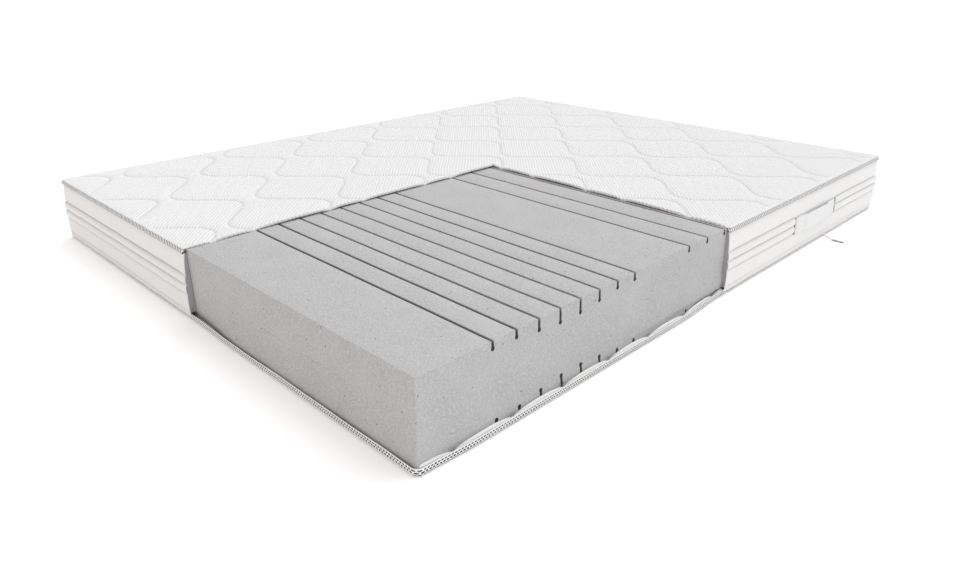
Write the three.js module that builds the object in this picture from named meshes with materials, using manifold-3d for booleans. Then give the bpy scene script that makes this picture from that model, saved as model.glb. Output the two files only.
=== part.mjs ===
// A 160 x 200 cm foam mattress, shown with one quarter of its cover cut away.
// Units are millimetres. X is the width, Y the length (the foot end is at -Y), +Z is up.
// The origin is the middle of the face that the mattress rests on.
import * as THREE from 'three';
import * as BufferGeometryUtils from 'three/addons/utils/BufferGeometryUtils.js';
import Module from 'manifold-3d';

const wasm = await Module();
wasm.setup();

// ---------------------------------------------------------------- driving dimensions
const HALF_WIDTH = 800;
const HALF_LENGTH = 1000;
const CORNER_RADIUS = 18;      // of the cover, seen from above
const CORNER_SHARPENING = 1.45;  // how much the radius drops for each millimetre inwards
const WEDGE_DEPTH = 60;        // how far in a side of the border is cut off square to its neighbour
const SHARPEST_CORNER = 2;
const ARC_STEPS = 6;
const GAP = 0.3;               // between pieces that touch
const CUT_MARGIN = 1;          // how far a cutting solid reaches past what it cuts

// The quarter x > CUT_X, y < CUT_Y has no top panel and no side border.
const CUT_X = 0;
const CUT_Y = 0;

// Foam core: two slabs glued at mid height.
const FOAM_INSET = 12;
const FOAM_BOTTOM = 8;
const FOAM_TOP = 175.2;
const SLOT_MOUTH = 5;          // width of a slot where it opens
const SLOT_BULB_RADIUS = 4.6;  // the round end of a slot
const BULB_STEPS = 6;
const FOOT_ZONE = { first: -813.4, pitch: 60.7, depths: [20, 20, 28, 34, 34, 28, 20, 20] };
const MIDDLE_ZONE = { first: -173.2, pitch: 80.5, depths: [16, 16, 16, 16, 16] };
const HEAD_ZONE = { first: 388.5, pitch: 60.7, depths: [20, 20, 28, 34, 34, 28, 20, 20] };

// Heights of the cover's layers.
const BOTTOM_KNIT = 1.5;
const BOTTOM_KNIT_EDGE = 797;
const BOTTOM_WADDING_TOP = 6.4;
const RIM_TOP = 20;            // the quilted bottom panel turns up beside the foam
const RIM_OVERLAP = 1;
const MESH_TOP = 16.6;
const BORDER_BOTTOM = 24;
const BORDER_TOP = 165;
const WADDING_BOTTOM = 36;
const PIPING_TOP = 175.4;
const TOP_BACKING = 1;
const TOP_WADDING = 7;
const TOP_KNIT = 3.6;

// Distances outward from the foam's side, as half widths of each layer's faces.
const LINING_FACES = [788.6, 789.6];
const RIM_FACES = [788.8, 792.5];
const BORDER_WADDING_FACES = [790, 798.2];
const BORDER_KNIT_FACES = [798.6, 800.2];
const PIPING_FACES = [789, 797];
const MESH_FACES = [798.6, 799.8];
const ZIP_TAPE_FACES = [796.2, 797.4];
const ZIP_CHAIN_FACES = [795.4, 798];
const FLAP_FACES = [802.4, 804.2];

// Zip: lower half on the bottom cover, upper half on the border.
const LOWER_TAPE = [2, 17];
const LOWER_CHAIN = [17.4, 19.4];
const UPPER_CHAIN = [21, 23];
const UPPER_TAPE = [23.4, 35];
const FLAP_HEIGHTS = [9, 26];
const SLIDER_Y = 617;
const SLIDER_LENGTH = 10;
const SLIDER_HEIGHTS = [17.1, 23.3];
const SLIDER_BACK = [793.3, 794.8];
const SLIDER_FRONT = [798.3, 799.5];
const SLIDER_POST = [19.8, 20.6];
const LUG_FACE = 800.7;
const LUG_HEIGHTS = [18.6, 22];
const STOP_Y = [625, 628];
const STOP_HEIGHTS = [17.6, 20];
const RIBBON_THICKNESS = 1;
const RIBBON_X = 801;
const RIBBON_TOP = 22.5;
const RIBBON_FLOOR = 0.6;
const RIBBON_BEND = 4.5;
const RIBBON_END = 836.2;
const RIBBON_WIDTH = 9;
const RIBBON_SLANT = -0.8;     // it runs out towards the foot end, this much for each millimetre out
const SLANT_START = 805.5;
const TAB_HINGE_X = 837.6;
const TAB_LENGTH = 33;
const TAB_WIDTH = 10;
const TAB_THICKNESS = 1.8;
const TAB_FLOOR = 0.4;
const BARREL_WIDTH = 9;
const BARREL_SIDES = 12;
const TAB_NECK_WIDTH = 8;
const TAB_NECK_REACH = 1.9;
const TAB_NECK_HEIGHTS = [0.7, 1.9];

// Carry handles: a strap over the two ribs of the border, sewn down at both ends.
const HANDLE_Y = 513;
const HANDLE_HALF = 131;
const PATCH_LENGTH = 48;
const STRAP_HEIGHTS = [65, 112];
const STRAP_THICKNESS = 2.4;
const PATCH_X = 800.6;
const GRIP_ROOT_X = 801;
const GRIP_X = 806.4;
const GRIP_SLOPE = 22;

// ---------------------------------------------------------------- materials
function fabric(color, roughness = 0.95) {
  return new THREE.MeshStandardMaterial({ color, roughness, metalness: 0 });
}
const MATERIALS = {
  foam: fabric(0xc4c5c7),
  knit: fabric(0xf1f1f2),
  border: fabric(0xebebed),
  wadding: fabric(0xf6f6f4),
  lining: fabric(0x9c99a0),
  piping: fabric(0xa6a6a4),
  mesh: fabric(0xe9e9e8),
  zipTape: fabric(0xd8d8d8),
  zipChain: fabric(0xc4c4c6, 0.5),
  strap: fabric(0xf0f0f1),
  metal: new THREE.MeshStandardMaterial({ color: 0x9b9ba0, roughness: 0.4, metalness: 0.6 }),
};

const group = new THREE.Group();

function add(name, geometry, material) {
  const mesh = new THREE.Mesh(geometry, material);
  mesh.name = name;
  group.add(mesh);
  return mesh;
}

// ---------------------------------------------------------------- shape helpers
function extrudeUp(shape, bottom, top) {
  const settings = { depth: top - bottom, bevelEnabled: false, curveSegments: ARC_STEPS };
  const geometry = new THREE.ExtrudeGeometry(shape, settings);
  geometry.translate(0, 0, bottom);
  return geometry;
}

// Extrudes an outline drawn in the X-Z plane along Y, centred on middleY.
function extrudeAlongY(shape, middleY, length) {
  const geometry = new THREE.ExtrudeGeometry(shape, { depth: length, bevelEnabled: false });
  geometry.rotateX(Math.PI / 2);
  geometry.translate(0, middleY + length / 2, 0);
  return geometry;
}

function box(x, y, z) {
  const geometry = new THREE.BoxGeometry(x[1] - x[0], y[1] - y[0], z[1] - z[0]);
  geometry.translate((x[0] + x[1]) / 2, (y[0] + y[1]) / 2, (z[0] + z[1]) / 2);
  return geometry;
}

// How far the outline at halfWidth stands inside the nominal size.
function inset(halfWidth) {
  return HALF_WIDTH - halfWidth;
}

// The corners get sharper inwards, until they fit the foam's square corners.
function cornerRadius(halfWidth) {
  return Math.max(CORNER_RADIUS - CORNER_SHARPENING * inset(halfWidth), SHARPEST_CORNER);
}

// One corner of an outline, as points on an arc. signX and signY say which corner.
function cornerPoints(halfWidth, signX, signY) {
  const radius = cornerRadius(halfWidth);
  const centreX = signX * (halfWidth - radius);
  const centreY = signY * (HALF_LENGTH - inset(halfWidth) - radius);
  const start = Math.atan2(signY, signX) - Math.PI / 4;
  return Array.from({ length: ARC_STEPS + 1 }, (_, i) => {
    const angle = start + (i / ARC_STEPS) * (Math.PI / 2);
    return new THREE.Vector2(centreX + radius * Math.cos(angle), centreY + radius * Math.sin(angle));
  });
}

// The whole outline, anticlockwise from the foot's right corner.
function outlinePoints(halfWidth) {
  return [[1, -1], [1, 1], [-1, 1], [-1, -1]].flatMap(([x, y]) => cornerPoints(halfWidth, x, y));
}

function plateShape(halfWidth) {
  return new THREE.Shape(outlinePoints(halfWidth));
}

// A closed loop of band round all four sides.
function loopShape([inner, outer]) {
  const shape = plateShape(outer);
  shape.holes.push(new THREE.Path(outlinePoints(inner)));
  return shape;
}

// The three corners that the cut leaves, from the right cut round to the foot's cut.
function cutLinePoints(halfWidth) {
  const halfLength = HALF_LENGTH - inset(halfWidth);
  return [
    new THREE.Vector2(halfWidth, CUT_Y),
    ...cornerPoints(halfWidth, 1, 1),
    ...cornerPoints(halfWidth, -1, 1),
    ...cornerPoints(halfWidth, -1, -1),
    new THREE.Vector2(CUT_X, -halfLength),
  ];
}

// A band round the three sides that still have their cover.
function cutBandShape([inner, outer]) {
  return new THREE.Shape([...cutLinePoints(outer), ...cutLinePoints(inner).reverse()]);
}

// The top panel's plan: the whole rectangle less the cut quarter.
function panelShape(halfWidth) {
  return new THREE.Shape([...cutLinePoints(halfWidth), new THREE.Vector2(CUT_X, CUT_Y)]);
}

function toManifold(geometry) {
  const bare = geometry.clone();
  bare.deleteAttribute('normal');
  bare.deleteAttribute('uv');
  const merged = BufferGeometryUtils.mergeVertices(bare, 1e-4);
  const vertProperties = new Float32Array(merged.attributes.position.array);
  const triVerts = new Uint32Array(merged.index.array);
  return new wasm.Manifold(new wasm.Mesh({ numProp: 3, vertProperties, triVerts }));
}

function toGeometry(solid) {
  const { vertProperties, triVerts } = solid.getMesh();
  const geometry = new THREE.BufferGeometry();
  geometry.setAttribute('position', new THREE.BufferAttribute(vertProperties, 3));
  geometry.setIndex(new THREE.BufferAttribute(triVerts, 1));
  return geometry;
}

// ---------------------------------------------------------------- foam core
// One slot in a slab's face at height 0, going down: a slit that ends in a round bulb.
function slotPoints(y, depth) {
  const half = SLOT_MOUTH / 2;
  const centre = -(depth - SLOT_BULB_RADIUS);
  const opening = Math.asin(half / SLOT_BULB_RADIUS);
  const first = Math.PI / 2 + opening;
  const sweep = 2 * Math.PI - 2 * opening;
  const bulb = Array.from({ length: BULB_STEPS + 1 }, (_, i) => {
    const angle = first + (i / BULB_STEPS) * sweep;
    return [y + SLOT_BULB_RADIUS * Math.cos(angle), centre + SLOT_BULB_RADIUS * Math.sin(angle)];
  });
  return [[y - half, 0], ...bulb, [y + half, 0]];
}

function zoneSlots({ first, pitch, depths }) {
  return depths.flatMap((depth, i) => slotPoints(first + i * pitch, depth));
}

// A slab is drawn in the Y-Z plane with its slotted face at slottedZ, then extruded along X.
function foamSlab(slottedZ, gluedZ) {
  const halfLength = HALF_LENGTH - FOAM_INSET;
  const halfWidth = HALF_WIDTH - FOAM_INSET;
  const side = Math.sign(slottedZ - gluedZ);
  const slots = [FOOT_ZONE, MIDDLE_ZONE, HEAD_ZONE].flatMap(zoneSlots);
  const face = slots.map(([y, z]) => new THREE.Vector2(y, slottedZ + side * z));
  const outline = [
    new THREE.Vector2(-halfLength, gluedZ),
    new THREE.Vector2(-halfLength, slottedZ),
    ...face,
    new THREE.Vector2(halfLength, slottedZ),
    new THREE.Vector2(halfLength, gluedZ),
  ];
  const settings = { depth: 2 * halfWidth, bevelEnabled: false };
  const geometry = new THREE.ExtrudeGeometry(new THREE.Shape(outline), settings);
  // The outline's x and y become Y and Z, and the extrusion runs along X.
  geometry.rotateX(Math.PI / 2);
  geometry.rotateZ(Math.PI / 2);
  geometry.translate(-halfWidth, 0, 0);
  return geometry;
}

function addFoamCore() {
  const glue = (FOAM_BOTTOM + FOAM_TOP) / 2;
  add('foam_slab_lower', foamSlab(FOAM_BOTTOM, glue - GAP / 2), MATERIALS.foam);
  add('foam_slab_upper', foamSlab(FOAM_TOP, glue + GAP / 2), MATERIALS.foam);
}

// ---------------------------------------------------------------- bottom cover
function addBottomCover() {
  const knit = extrudeUp(plateShape(BOTTOM_KNIT_EDGE), 0, BOTTOM_KNIT);
  add('bottom_panel_knit', knit, MATERIALS.knit);
  const slab = extrudeUp(plateShape(RIM_FACES[1]), BOTTOM_KNIT + GAP, BOTTOM_WADDING_TOP);
  const rim = extrudeUp(loopShape(RIM_FACES), BOTTOM_WADDING_TOP - RIM_OVERLAP, RIM_TOP);
  const tray = toManifold(slab).add(toManifold(rim));
  add('bottom_panel_wadding', toGeometry(tray), MATERIALS.wadding);
  const backing = plateShape(RIM_FACES[0] - GAP * 2);
  const backingFloor = BOTTOM_WADDING_TOP + GAP;
  add('bottom_panel_backing', extrudeUp(backing, backingFloor, FOAM_BOTTOM - GAP), MATERIALS.lining);
  add('bottom_mesh_band', extrudeUp(loopShape(MESH_FACES), GAP, MESH_TOP), MATERIALS.mesh);
}

// ---------------------------------------------------------------- side border
// Each side's band runs between two mitred ends, so four straight pieces go round the corners.
function sideRegion(side) {
  const far = 2 * HALF_LENGTH;
  const corners = {
    left: [[-HALF_WIDTH, -HALF_LENGTH], [-far, -far], [-far, far], [-HALF_WIDTH, HALF_LENGTH]],
    head: [[-HALF_WIDTH, HALF_LENGTH], [-far, far], [far, far], [HALF_WIDTH, HALF_LENGTH]],
    right: [[HALF_WIDTH, HALF_LENGTH], [far, far], [far, -far], [HALF_WIDTH, -HALF_LENGTH]],
    foot: [[HALF_WIDTH, -HALF_LENGTH], [far, -far], [-far, -far], [-HALF_WIDTH, -HALF_LENGTH]],
  }[side];
  return corners;
}

// The wedge of the plan that one side owns, shrunk a little so that neighbours keep a gap.
function sideWedge(side, bottom, top) {
  const [a, b, c, d] = sideRegion(side).map(([x, y]) => new THREE.Vector2(x, y));
  const inwardA = new THREE.Vector2(Math.sign(-a.x), Math.sign(-a.y)).multiplyScalar(WEDGE_DEPTH);
  const inwardD = new THREE.Vector2(Math.sign(-d.x), Math.sign(-d.y)).multiplyScalar(WEDGE_DEPTH);
  const along = d.clone().sub(a).normalize().multiplyScalar(GAP);
  const points = [
    a.clone().add(inwardA).add(along),
    b.clone().add(along),
    c.clone().sub(along),
    d.clone().add(inwardD).sub(along),
  ];
  const shape = new THREE.Shape(points);
  return toManifold(extrudeUp(shape, bottom, top));
}

function borderSide(side, faces, bottom, top) {
  const band = toManifold(extrudeUp(cutBandShape(faces), bottom, top));
  return toGeometry(band.intersect(sideWedge(side, bottom - CUT_MARGIN, top + CUT_MARGIN)));
}

function addBorder() {
  for (const side of ['foot', 'left', 'head', 'right']) {
    const knit = borderSide(side, BORDER_KNIT_FACES, BORDER_BOTTOM, BORDER_TOP);
    add(`border_${side}_knit`, knit, MATERIALS.border);
    const wadding = borderSide(side, BORDER_WADDING_FACES, WADDING_BOTTOM, BORDER_TOP);
    add(`border_${side}_wadding`, wadding, MATERIALS.wadding);
    const lining = borderSide(side, LINING_FACES, BORDER_BOTTOM, BORDER_TOP);
    add(`border_${side}_lining`, lining, MATERIALS.lining);
  }
}

// ---------------------------------------------------------------- top panel and its edge
function addTopPanel() {
  const edge = PIPING_FACES[1];
  const backingBottom = PIPING_TOP + GAP;
  const waddingBottom = backingBottom + TOP_BACKING + GAP;
  const knitBottom = waddingBottom + TOP_WADDING + GAP;
  const shape = panelShape(edge);
  const backing = extrudeUp(shape, backingBottom, backingBottom + TOP_BACKING);
  add('top_panel_backing', backing, MATERIALS.lining);
  const wadding = extrudeUp(shape, waddingBottom, waddingBottom + TOP_WADDING);
  add('top_panel_wadding', wadding, MATERIALS.wadding);
  add('top_panel_knit', extrudeUp(shape, knitBottom, knitBottom + TOP_KNIT), MATERIALS.knit);
  const piping = extrudeUp(cutBandShape(PIPING_FACES), BORDER_TOP + GAP, PIPING_TOP);
  add('top_edge_piping', piping, MATERIALS.piping);
}

// ---------------------------------------------------------------- zip
function addZipHalves() {
  const lowerTape = extrudeUp(loopShape(ZIP_TAPE_FACES), ...LOWER_TAPE);
  add('zip_tape_lower', lowerTape, MATERIALS.zipTape);
  const lowerChain = extrudeUp(loopShape(ZIP_CHAIN_FACES), ...LOWER_CHAIN);
  add('zip_chain_lower', lowerChain, MATERIALS.zipChain);
  const upperChain = extrudeUp(cutBandShape(ZIP_CHAIN_FACES), ...UPPER_CHAIN);
  add('zip_chain_upper', upperChain, MATERIALS.zipChain);
  const upperTape = extrudeUp(cutBandShape(ZIP_TAPE_FACES), ...UPPER_TAPE);
  add('zip_tape_upper', upperTape, MATERIALS.zipTape);
  add('zip_flap', extrudeUp(cutBandShape(FLAP_FACES), ...FLAP_HEIGHTS), MATERIALS.border);
  const stop = box([ZIP_CHAIN_FACES[1] + GAP, SLIDER_FRONT[1]], STOP_Y, STOP_HEIGHTS);
  add('zip_end_stop', stop, MATERIALS.metal);
}

// Two plates with a thin post between them, and a lug on the front for the pull.
function sliderShape() {
  const [low, high] = SLIDER_HEIGHTS;
  const [postLow, postHigh] = SLIDER_POST;
  const [lugLow, lugHigh] = LUG_HEIGHTS;
  return new THREE.Shape([
    [SLIDER_BACK[0], low], [SLIDER_BACK[1], low], [SLIDER_BACK[1], postLow],
    [SLIDER_FRONT[0], postLow], [SLIDER_FRONT[0], low], [SLIDER_FRONT[1], low],
    [SLIDER_FRONT[1], lugLow], [LUG_FACE, lugLow], [LUG_FACE, lugHigh],
    [SLIDER_FRONT[1], lugHigh], [SLIDER_FRONT[1], high], [SLIDER_FRONT[0], high],
    [SLIDER_FRONT[0], postHigh], [SLIDER_BACK[1], postHigh], [SLIDER_BACK[1], high],
    [SLIDER_BACK[0], high],
  ].map(([x, z]) => new THREE.Vector2(x, z)));
}

// A ribbon that drops from the lug, bends at the floor and runs out from the mattress.
function ribbonShape() {
  const outerX = RIBBON_X + RIBBON_THICKNESS;
  const floorTop = RIBBON_FLOOR + RIBBON_THICKNESS;
  const bendX = RIBBON_X + RIBBON_BEND;
  const bendZ = RIBBON_FLOOR + RIBBON_BEND;
  const shape = new THREE.Shape();
  shape.moveTo(RIBBON_X, RIBBON_TOP);
  shape.lineTo(RIBBON_X, bendZ);
  shape.absarc(bendX, bendZ, RIBBON_BEND, Math.PI, 1.5 * Math.PI, false);
  shape.lineTo(RIBBON_END, RIBBON_FLOOR);
  shape.lineTo(RIBBON_END, floorTop);
  shape.lineTo(bendX, floorTop);
  shape.absarc(bendX, bendZ, RIBBON_BEND - RIBBON_THICKNESS, 1.5 * Math.PI, Math.PI, true);
  shape.lineTo(outerX, RIBBON_TOP);
  return shape;
}

// Where the middle of the slanting ribbon has got to at a distance x.
function slantedY(x) {
  return SLIDER_Y + RIBBON_SLANT * Math.max(x - SLANT_START, 0);
}

function slant(geometry) {
  const { position } = geometry.attributes;
  for (let i = 0; i < position.count; i += 1) {
    position.setY(i, position.getY(i) + slantedY(position.getX(i)) - SLIDER_Y);
  }
  return geometry;
}

// A flat tab with a round outer end, and a round edge at its hinge.
function pullTabGeometry() {
  const half = TAB_WIDTH / 2;
  const shape = new THREE.Shape();
  const roundCentre = TAB_HINGE_X + TAB_LENGTH - half;
  const start = TAB_HINGE_X + TAB_THICKNESS / 2;
  shape.moveTo(start, -half);
  shape.lineTo(roundCentre, -half);
  shape.absarc(roundCentre, 0, half, -Math.PI / 2, Math.PI / 2, false);
  shape.lineTo(start, half);
  const plate = extrudeUp(shape, TAB_FLOOR, TAB_FLOOR + TAB_THICKNESS);
  const radius = TAB_THICKNESS / 2;
  const barrel = new THREE.CylinderGeometry(radius, radius, BARREL_WIDTH, BARREL_SIDES);
  barrel.translate(TAB_HINGE_X, 0, TAB_FLOOR + radius);
  const neckY = [-TAB_NECK_WIDTH / 2, TAB_NECK_WIDTH / 2];
  const neck = box([TAB_HINGE_X, TAB_HINGE_X + TAB_NECK_REACH], neckY, TAB_NECK_HEIGHTS);
  const solid = toManifold(plate).add(toManifold(barrel)).add(toManifold(neck));
  return toGeometry(solid).translate(0, slantedY(TAB_HINGE_X), 0);
}

function addZipSlider() {
  const body = extrudeAlongY(sliderShape(), SLIDER_Y, SLIDER_LENGTH);
  add('zip_slider', body, MATERIALS.metal);
  const ribbon = slant(extrudeAlongY(ribbonShape(), SLIDER_Y, RIBBON_WIDTH));
  add('zip_pull_ribbon', ribbon, MATERIALS.strap);
  add('zip_pull_tab', pullTabGeometry(), MATERIALS.metal);
}

// ---------------------------------------------------------------- carry handles
// The grip stands off the border: it slopes out from one sewn end and back to the other.
function gripShape() {
  const reach = HANDLE_HALF - PATCH_LENGTH - GAP;
  const flat = reach - GRIP_SLOPE;
  const foot = GRIP_ROOT_X;
  return new THREE.Shape([
    [foot, -reach], [GRIP_X, -flat], [GRIP_X, flat], [foot, reach],
    [foot + STRAP_THICKNESS, reach], [GRIP_X + STRAP_THICKNESS, flat],
    [GRIP_X + STRAP_THICKNESS, -flat], [foot + STRAP_THICKNESS, -reach],
  ].map(([x, y]) => new THREE.Vector2(x, y)));
}

function addHandle(name, side, middleY) {
  const turn = side > 0 ? 0 : Math.PI;
  const patchX = [PATCH_X, PATCH_X + STRAP_THICKNESS];
  const ends = { a: [-HANDLE_HALF, PATCH_LENGTH - HANDLE_HALF], b: [HANDLE_HALF - PATCH_LENGTH, HANDLE_HALF] };
  for (const [end, range] of Object.entries(ends)) {
    const patch = add(`${name}_sewn_end_${end}`, box(patchX, range, STRAP_HEIGHTS), MATERIALS.strap);
    patch.rotation.z = turn;
    patch.position.y = middleY;
  }
  const grip = add(`${name}_grip`, extrudeUp(gripShape(), ...STRAP_HEIGHTS), MATERIALS.strap);
  grip.rotation.z = turn;
  grip.position.y = middleY;
}

// ---------------------------------------------------------------- the whole mattress
addFoamCore();
addBottomCover();
addBorder();
addTopPanel();
addZipHalves();
addZipSlider();
addHandle('handle_right', 1, HANDLE_Y);
addHandle('handle_left_head', -1, HANDLE_Y);
addHandle('handle_left_foot', -1, -HANDLE_Y);

export default group;
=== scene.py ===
"""A foam mattress in a quilted, zipped cover, with one quarter of the cover cut away.

Everything is in metres: X is the width, Y the length with the foot end at -Y, +Z is up.
"""

import math

import bpy
import numpy as np
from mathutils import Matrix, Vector


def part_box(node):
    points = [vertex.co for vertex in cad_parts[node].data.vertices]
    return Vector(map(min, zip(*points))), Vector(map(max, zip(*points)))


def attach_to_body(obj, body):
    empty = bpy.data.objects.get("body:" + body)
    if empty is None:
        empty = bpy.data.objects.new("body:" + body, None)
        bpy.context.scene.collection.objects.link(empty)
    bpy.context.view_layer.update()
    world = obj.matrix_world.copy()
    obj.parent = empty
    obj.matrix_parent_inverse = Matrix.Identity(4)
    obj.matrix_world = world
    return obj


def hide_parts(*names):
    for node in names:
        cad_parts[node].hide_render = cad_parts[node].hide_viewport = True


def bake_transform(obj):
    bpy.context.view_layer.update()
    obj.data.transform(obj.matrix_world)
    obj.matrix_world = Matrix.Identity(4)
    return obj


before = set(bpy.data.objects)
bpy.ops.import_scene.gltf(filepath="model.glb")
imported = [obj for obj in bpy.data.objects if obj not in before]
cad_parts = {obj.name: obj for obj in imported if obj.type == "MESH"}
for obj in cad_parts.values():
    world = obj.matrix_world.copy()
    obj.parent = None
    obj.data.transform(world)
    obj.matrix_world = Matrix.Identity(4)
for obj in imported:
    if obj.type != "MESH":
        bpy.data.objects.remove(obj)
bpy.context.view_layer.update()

# ---------------------------------------------------------------- driving dimensions
MM = 0.001
TAU = 2 * math.pi

border_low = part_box("border_left_knit")[0]
border_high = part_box("border_head_knit")[1]
HALF_WIDTH = -border_low.x
HALF_LENGTH = border_high.y
CUT_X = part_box("border_foot_knit")[1].x
CUT_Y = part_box("border_right_knit")[0].y
CORNER_RADIUS = 18 * MM
BOTTOM_RADIUS = 9 * MM         # the bottom edge turns its corners more tightly
TINY = 1e-6
SIDE_NAMES = ("foot", "left", "head", "right")

foam_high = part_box("foam_slab_upper")[1]
GLUE_Z = (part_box("foam_slab_lower")[1].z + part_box("foam_slab_upper")[0].z) / 2
FOAM_CROWN = 2.0 * MM
FOAM_SPREAD = 7.5 * MM         # how far the open core's foot leans outwards
FOAM_BULGE = 5.0 * MM          # and how much further close to the floor
FOAM_BOTTOM = 4.2 * MM         # the panel below is pressed thin by the core's weight

PANEL_EDGE = 3.6 * MM          # how far the panel's sewn edge stops inside the piping's outer face
PANEL_X, PANEL_Y = HALF_WIDTH - PANEL_EDGE, HALF_LENGTH - PANEL_EDGE
PANEL_EDGE_Z = 177.4 * MM
PANEL_PLATEAU_Z = 183.2 * MM
PANEL_CROWN = 2.8 * MM
CUT_LIFT = 2.6 * MM

PIPING_TALL, PIPING_WIDE = 6.9 * MM, 4.2 * MM
PIPING_OUT, PIPING_Z = -5.2 * MM, 171.2 * MM
PIPING_PITCH = 8.4 * MM
MESH_LOW, MESH_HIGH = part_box("bottom_mesh_band")[0].z, 15.8 * MM
MESH_PITCH, MESH_BOUND = 7.4 * MM, 0.9 * MM
MESH_ROWS = 3
FLAP_LOW, FLAP_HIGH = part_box("zip_flap")[0].z, 22.4 * MM
LOWER_COIL_Z = 11.4 * MM

RIB_PITCH = 8.6 * MM           # of the knit, straight across its ribs
LOOP_PITCH = 7.4 * MM          # along a rib
RIB_HEIGHT = 0.55 * MM
STITCH_DEPTH = 4.6 * MM
BOTTOM_STITCH_DEPTH = 1.3 * MM

# The quilting: two families of sine lines along X, which make onion-shaped cells.
LINE_PERIOD = 322 * MM
LINE_SWING = 56 * MM
LINE_SPACING = 322.4 * MM
LINE_FAMILIES = (
    {"first_y": 496.5 * MM, "crest_x": 107 * MM, "numbers": range(-1, 5)},
    {"first_y": 341.5 * MM, "crest_x": 262 * MM, "numbers": range(-2, 5)},
)

# The light: a sky that is stronger from behind and warmer in front, one very soft sun, and a glowing floor.
SKY_LEVEL, SKY_BEHIND, SKY_OVERHEAD = 0.70, 0.08, 0.02
SKY_COOL, SKY_WARM = (0.97, 0.985, 1.01), (1.0, 0.918, 0.855)
HORIZON_LEVEL = 1.05
SUN_TOWARD, SUN_STRENGTH, SUN_SOFTNESS = (-0.3, 3.7, 5.8), 1.52, 60
FLOOR_GLOW = 0.22              # the floor glows a little of itself: painted light that keeps it white and lights the cover's low sides
FLOOR_REACH, FLOOR_Z = 40.0, -0.4 * MM

CAMERA_PLACE = (1.5649, -1.6197, 0.7764)
CAMERA_TILT, CAMERA_TURN, CAMERA_LENS = 66.06, 45.04, 27.84


# ---------------------------------------------------------------- mesh helpers
def make_piece(name, points, faces, material, smooth_angle=50):
    """A mesh object from points (n, 3) and faces, a list of integer arrays (count, corners)."""
    faces = [np.asarray(f, dtype=np.int64) for f in faces if len(f)]
    corners = np.concatenate([f.ravel() for f in faces])
    sizes = np.concatenate([np.full(len(f), f.shape[1]) for f in faces])
    starts = np.concatenate([[0], np.cumsum(sizes)[:-1]])
    mesh = bpy.data.meshes.new(name)
    mesh.vertices.add(len(points))
    mesh.vertices.foreach_set("co", np.asarray(points, dtype=np.float32).ravel())
    mesh.loops.add(len(corners))
    mesh.loops.foreach_set("vertex_index", corners.astype(np.int32))
    mesh.polygons.add(len(sizes))
    mesh.polygons.foreach_set("loop_start", starts.astype(np.int32))
    mesh.update(calc_edges=True)
    mesh.polygons.foreach_set("use_smooth", np.ones(len(sizes), dtype=bool))
    mesh.set_sharp_from_angle(angle=math.radians(smooth_angle))
    mesh.materials.append(material)
    piece = bpy.data.objects.new(name, mesh)
    bpy.context.scene.collection.objects.link(piece)
    return piece


def store(piece, name, values):
    """Keeps one number for each point, for the material to read."""
    attribute = piece.data.attributes.new(name, "FLOAT", "POINT")
    attribute.data.foreach_set("value", np.asarray(values, dtype=np.float32).ravel())


def attach(piece, slot, body, *nodes):
    """Says which body a piece rides and which nodes it stands for; the slot is not used."""
    if nodes:
        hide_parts(*nodes)
    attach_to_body(piece, body)


def grid_faces(rows, columns, wrap_rows=False, wrap_columns=False):
    """Quads of a grid of points stored row by row. Their normal is row direction x column direction."""
    i, j = np.meshgrid(
        np.arange(rows if wrap_rows else rows - 1),
        np.arange(columns if wrap_columns else columns - 1),
        indexing="ij",
    )
    i, j = i.ravel(), j.ravel()
    next_i, next_j = (i + 1) % rows, (j + 1) % columns
    return np.stack(
        [i * columns + j, next_i * columns + j, next_i * columns + next_j, i * columns + next_j], axis=1
    )


def open_edges(faces):
    """Directed edges (a, b) of the faces that no other face runs the other way."""
    starts = np.concatenate([f.ravel() for f in faces])
    ends = np.concatenate([np.roll(f, -1, axis=1).ravel() for f in faces])
    size = int(max(starts.max(), ends.max())) + 1
    alone = ~np.isin(starts * size + ends, ends * size + starts)
    return np.stack([starts[alone], ends[alone]], axis=1)


def close_to_twins(edges, twins):
    """Walls between open edges and the same edges on their twin points."""
    a, b = edges[:, 0], edges[:, 1]
    return np.stack([b, a, twins[a], twins[b]], axis=1)


def compact(points, faces):
    """Drops points that no face uses. The third result is each point's new number, or -1."""
    used = np.unique(np.concatenate([f.ravel() for f in faces]))
    new = np.full(len(points), -1)
    new[used] = np.arange(len(used))
    return points[used], [new[f] for f in faces], new


def closed_shell(name, outer, inner, quads, material, smooth_angle=50):
    """A closed body between two surfaces of matching points, joined round their open edges."""
    count = len(outer)
    twins = np.arange(count) + count
    faces = [quads, quads[:, ::-1] + count, close_to_twins(open_edges([quads]), twins)]
    points, faces, _ = compact(np.concatenate([outer, inner]), faces)
    return make_piece(name, points, faces, material, smooth_angle)


def end_caps(count, sides):
    """The two end faces of a body swept through a number of rings."""
    return [np.arange(sides)[None, :], ((count - 1) * sides + np.arange(sides)[::-1])[None, :]]


def ring_body(name, rings, loop, material, smooth_angle=50):
    """A closed body swept through rings (n, m, 3), each anticlockwise as seen from the end."""
    count, sides = rings.shape[:2]
    faces = [grid_faces(count, sides, wrap_rows=loop, wrap_columns=True)]
    if not loop:
        faces += end_caps(count, sides)
    return make_piece(name, rings.reshape(-1, 3), faces, material, smooth_angle)


def bump_between(value, low, high):
    """0 below low, 1 above high, smooth between."""
    t = np.clip((value - low) / (high - low), 0, 1)
    return t * t * (3 - 2 * t)


def ripple(along, seed, *wavelengths):
    """A small irregular wave, from -1 to 1, the same on every run."""
    random = np.random.default_rng(seed)
    total = sum(np.sin(TAU * (along / w + random.random())) for w in wavelengths)
    return total / len(wavelengths)


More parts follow.
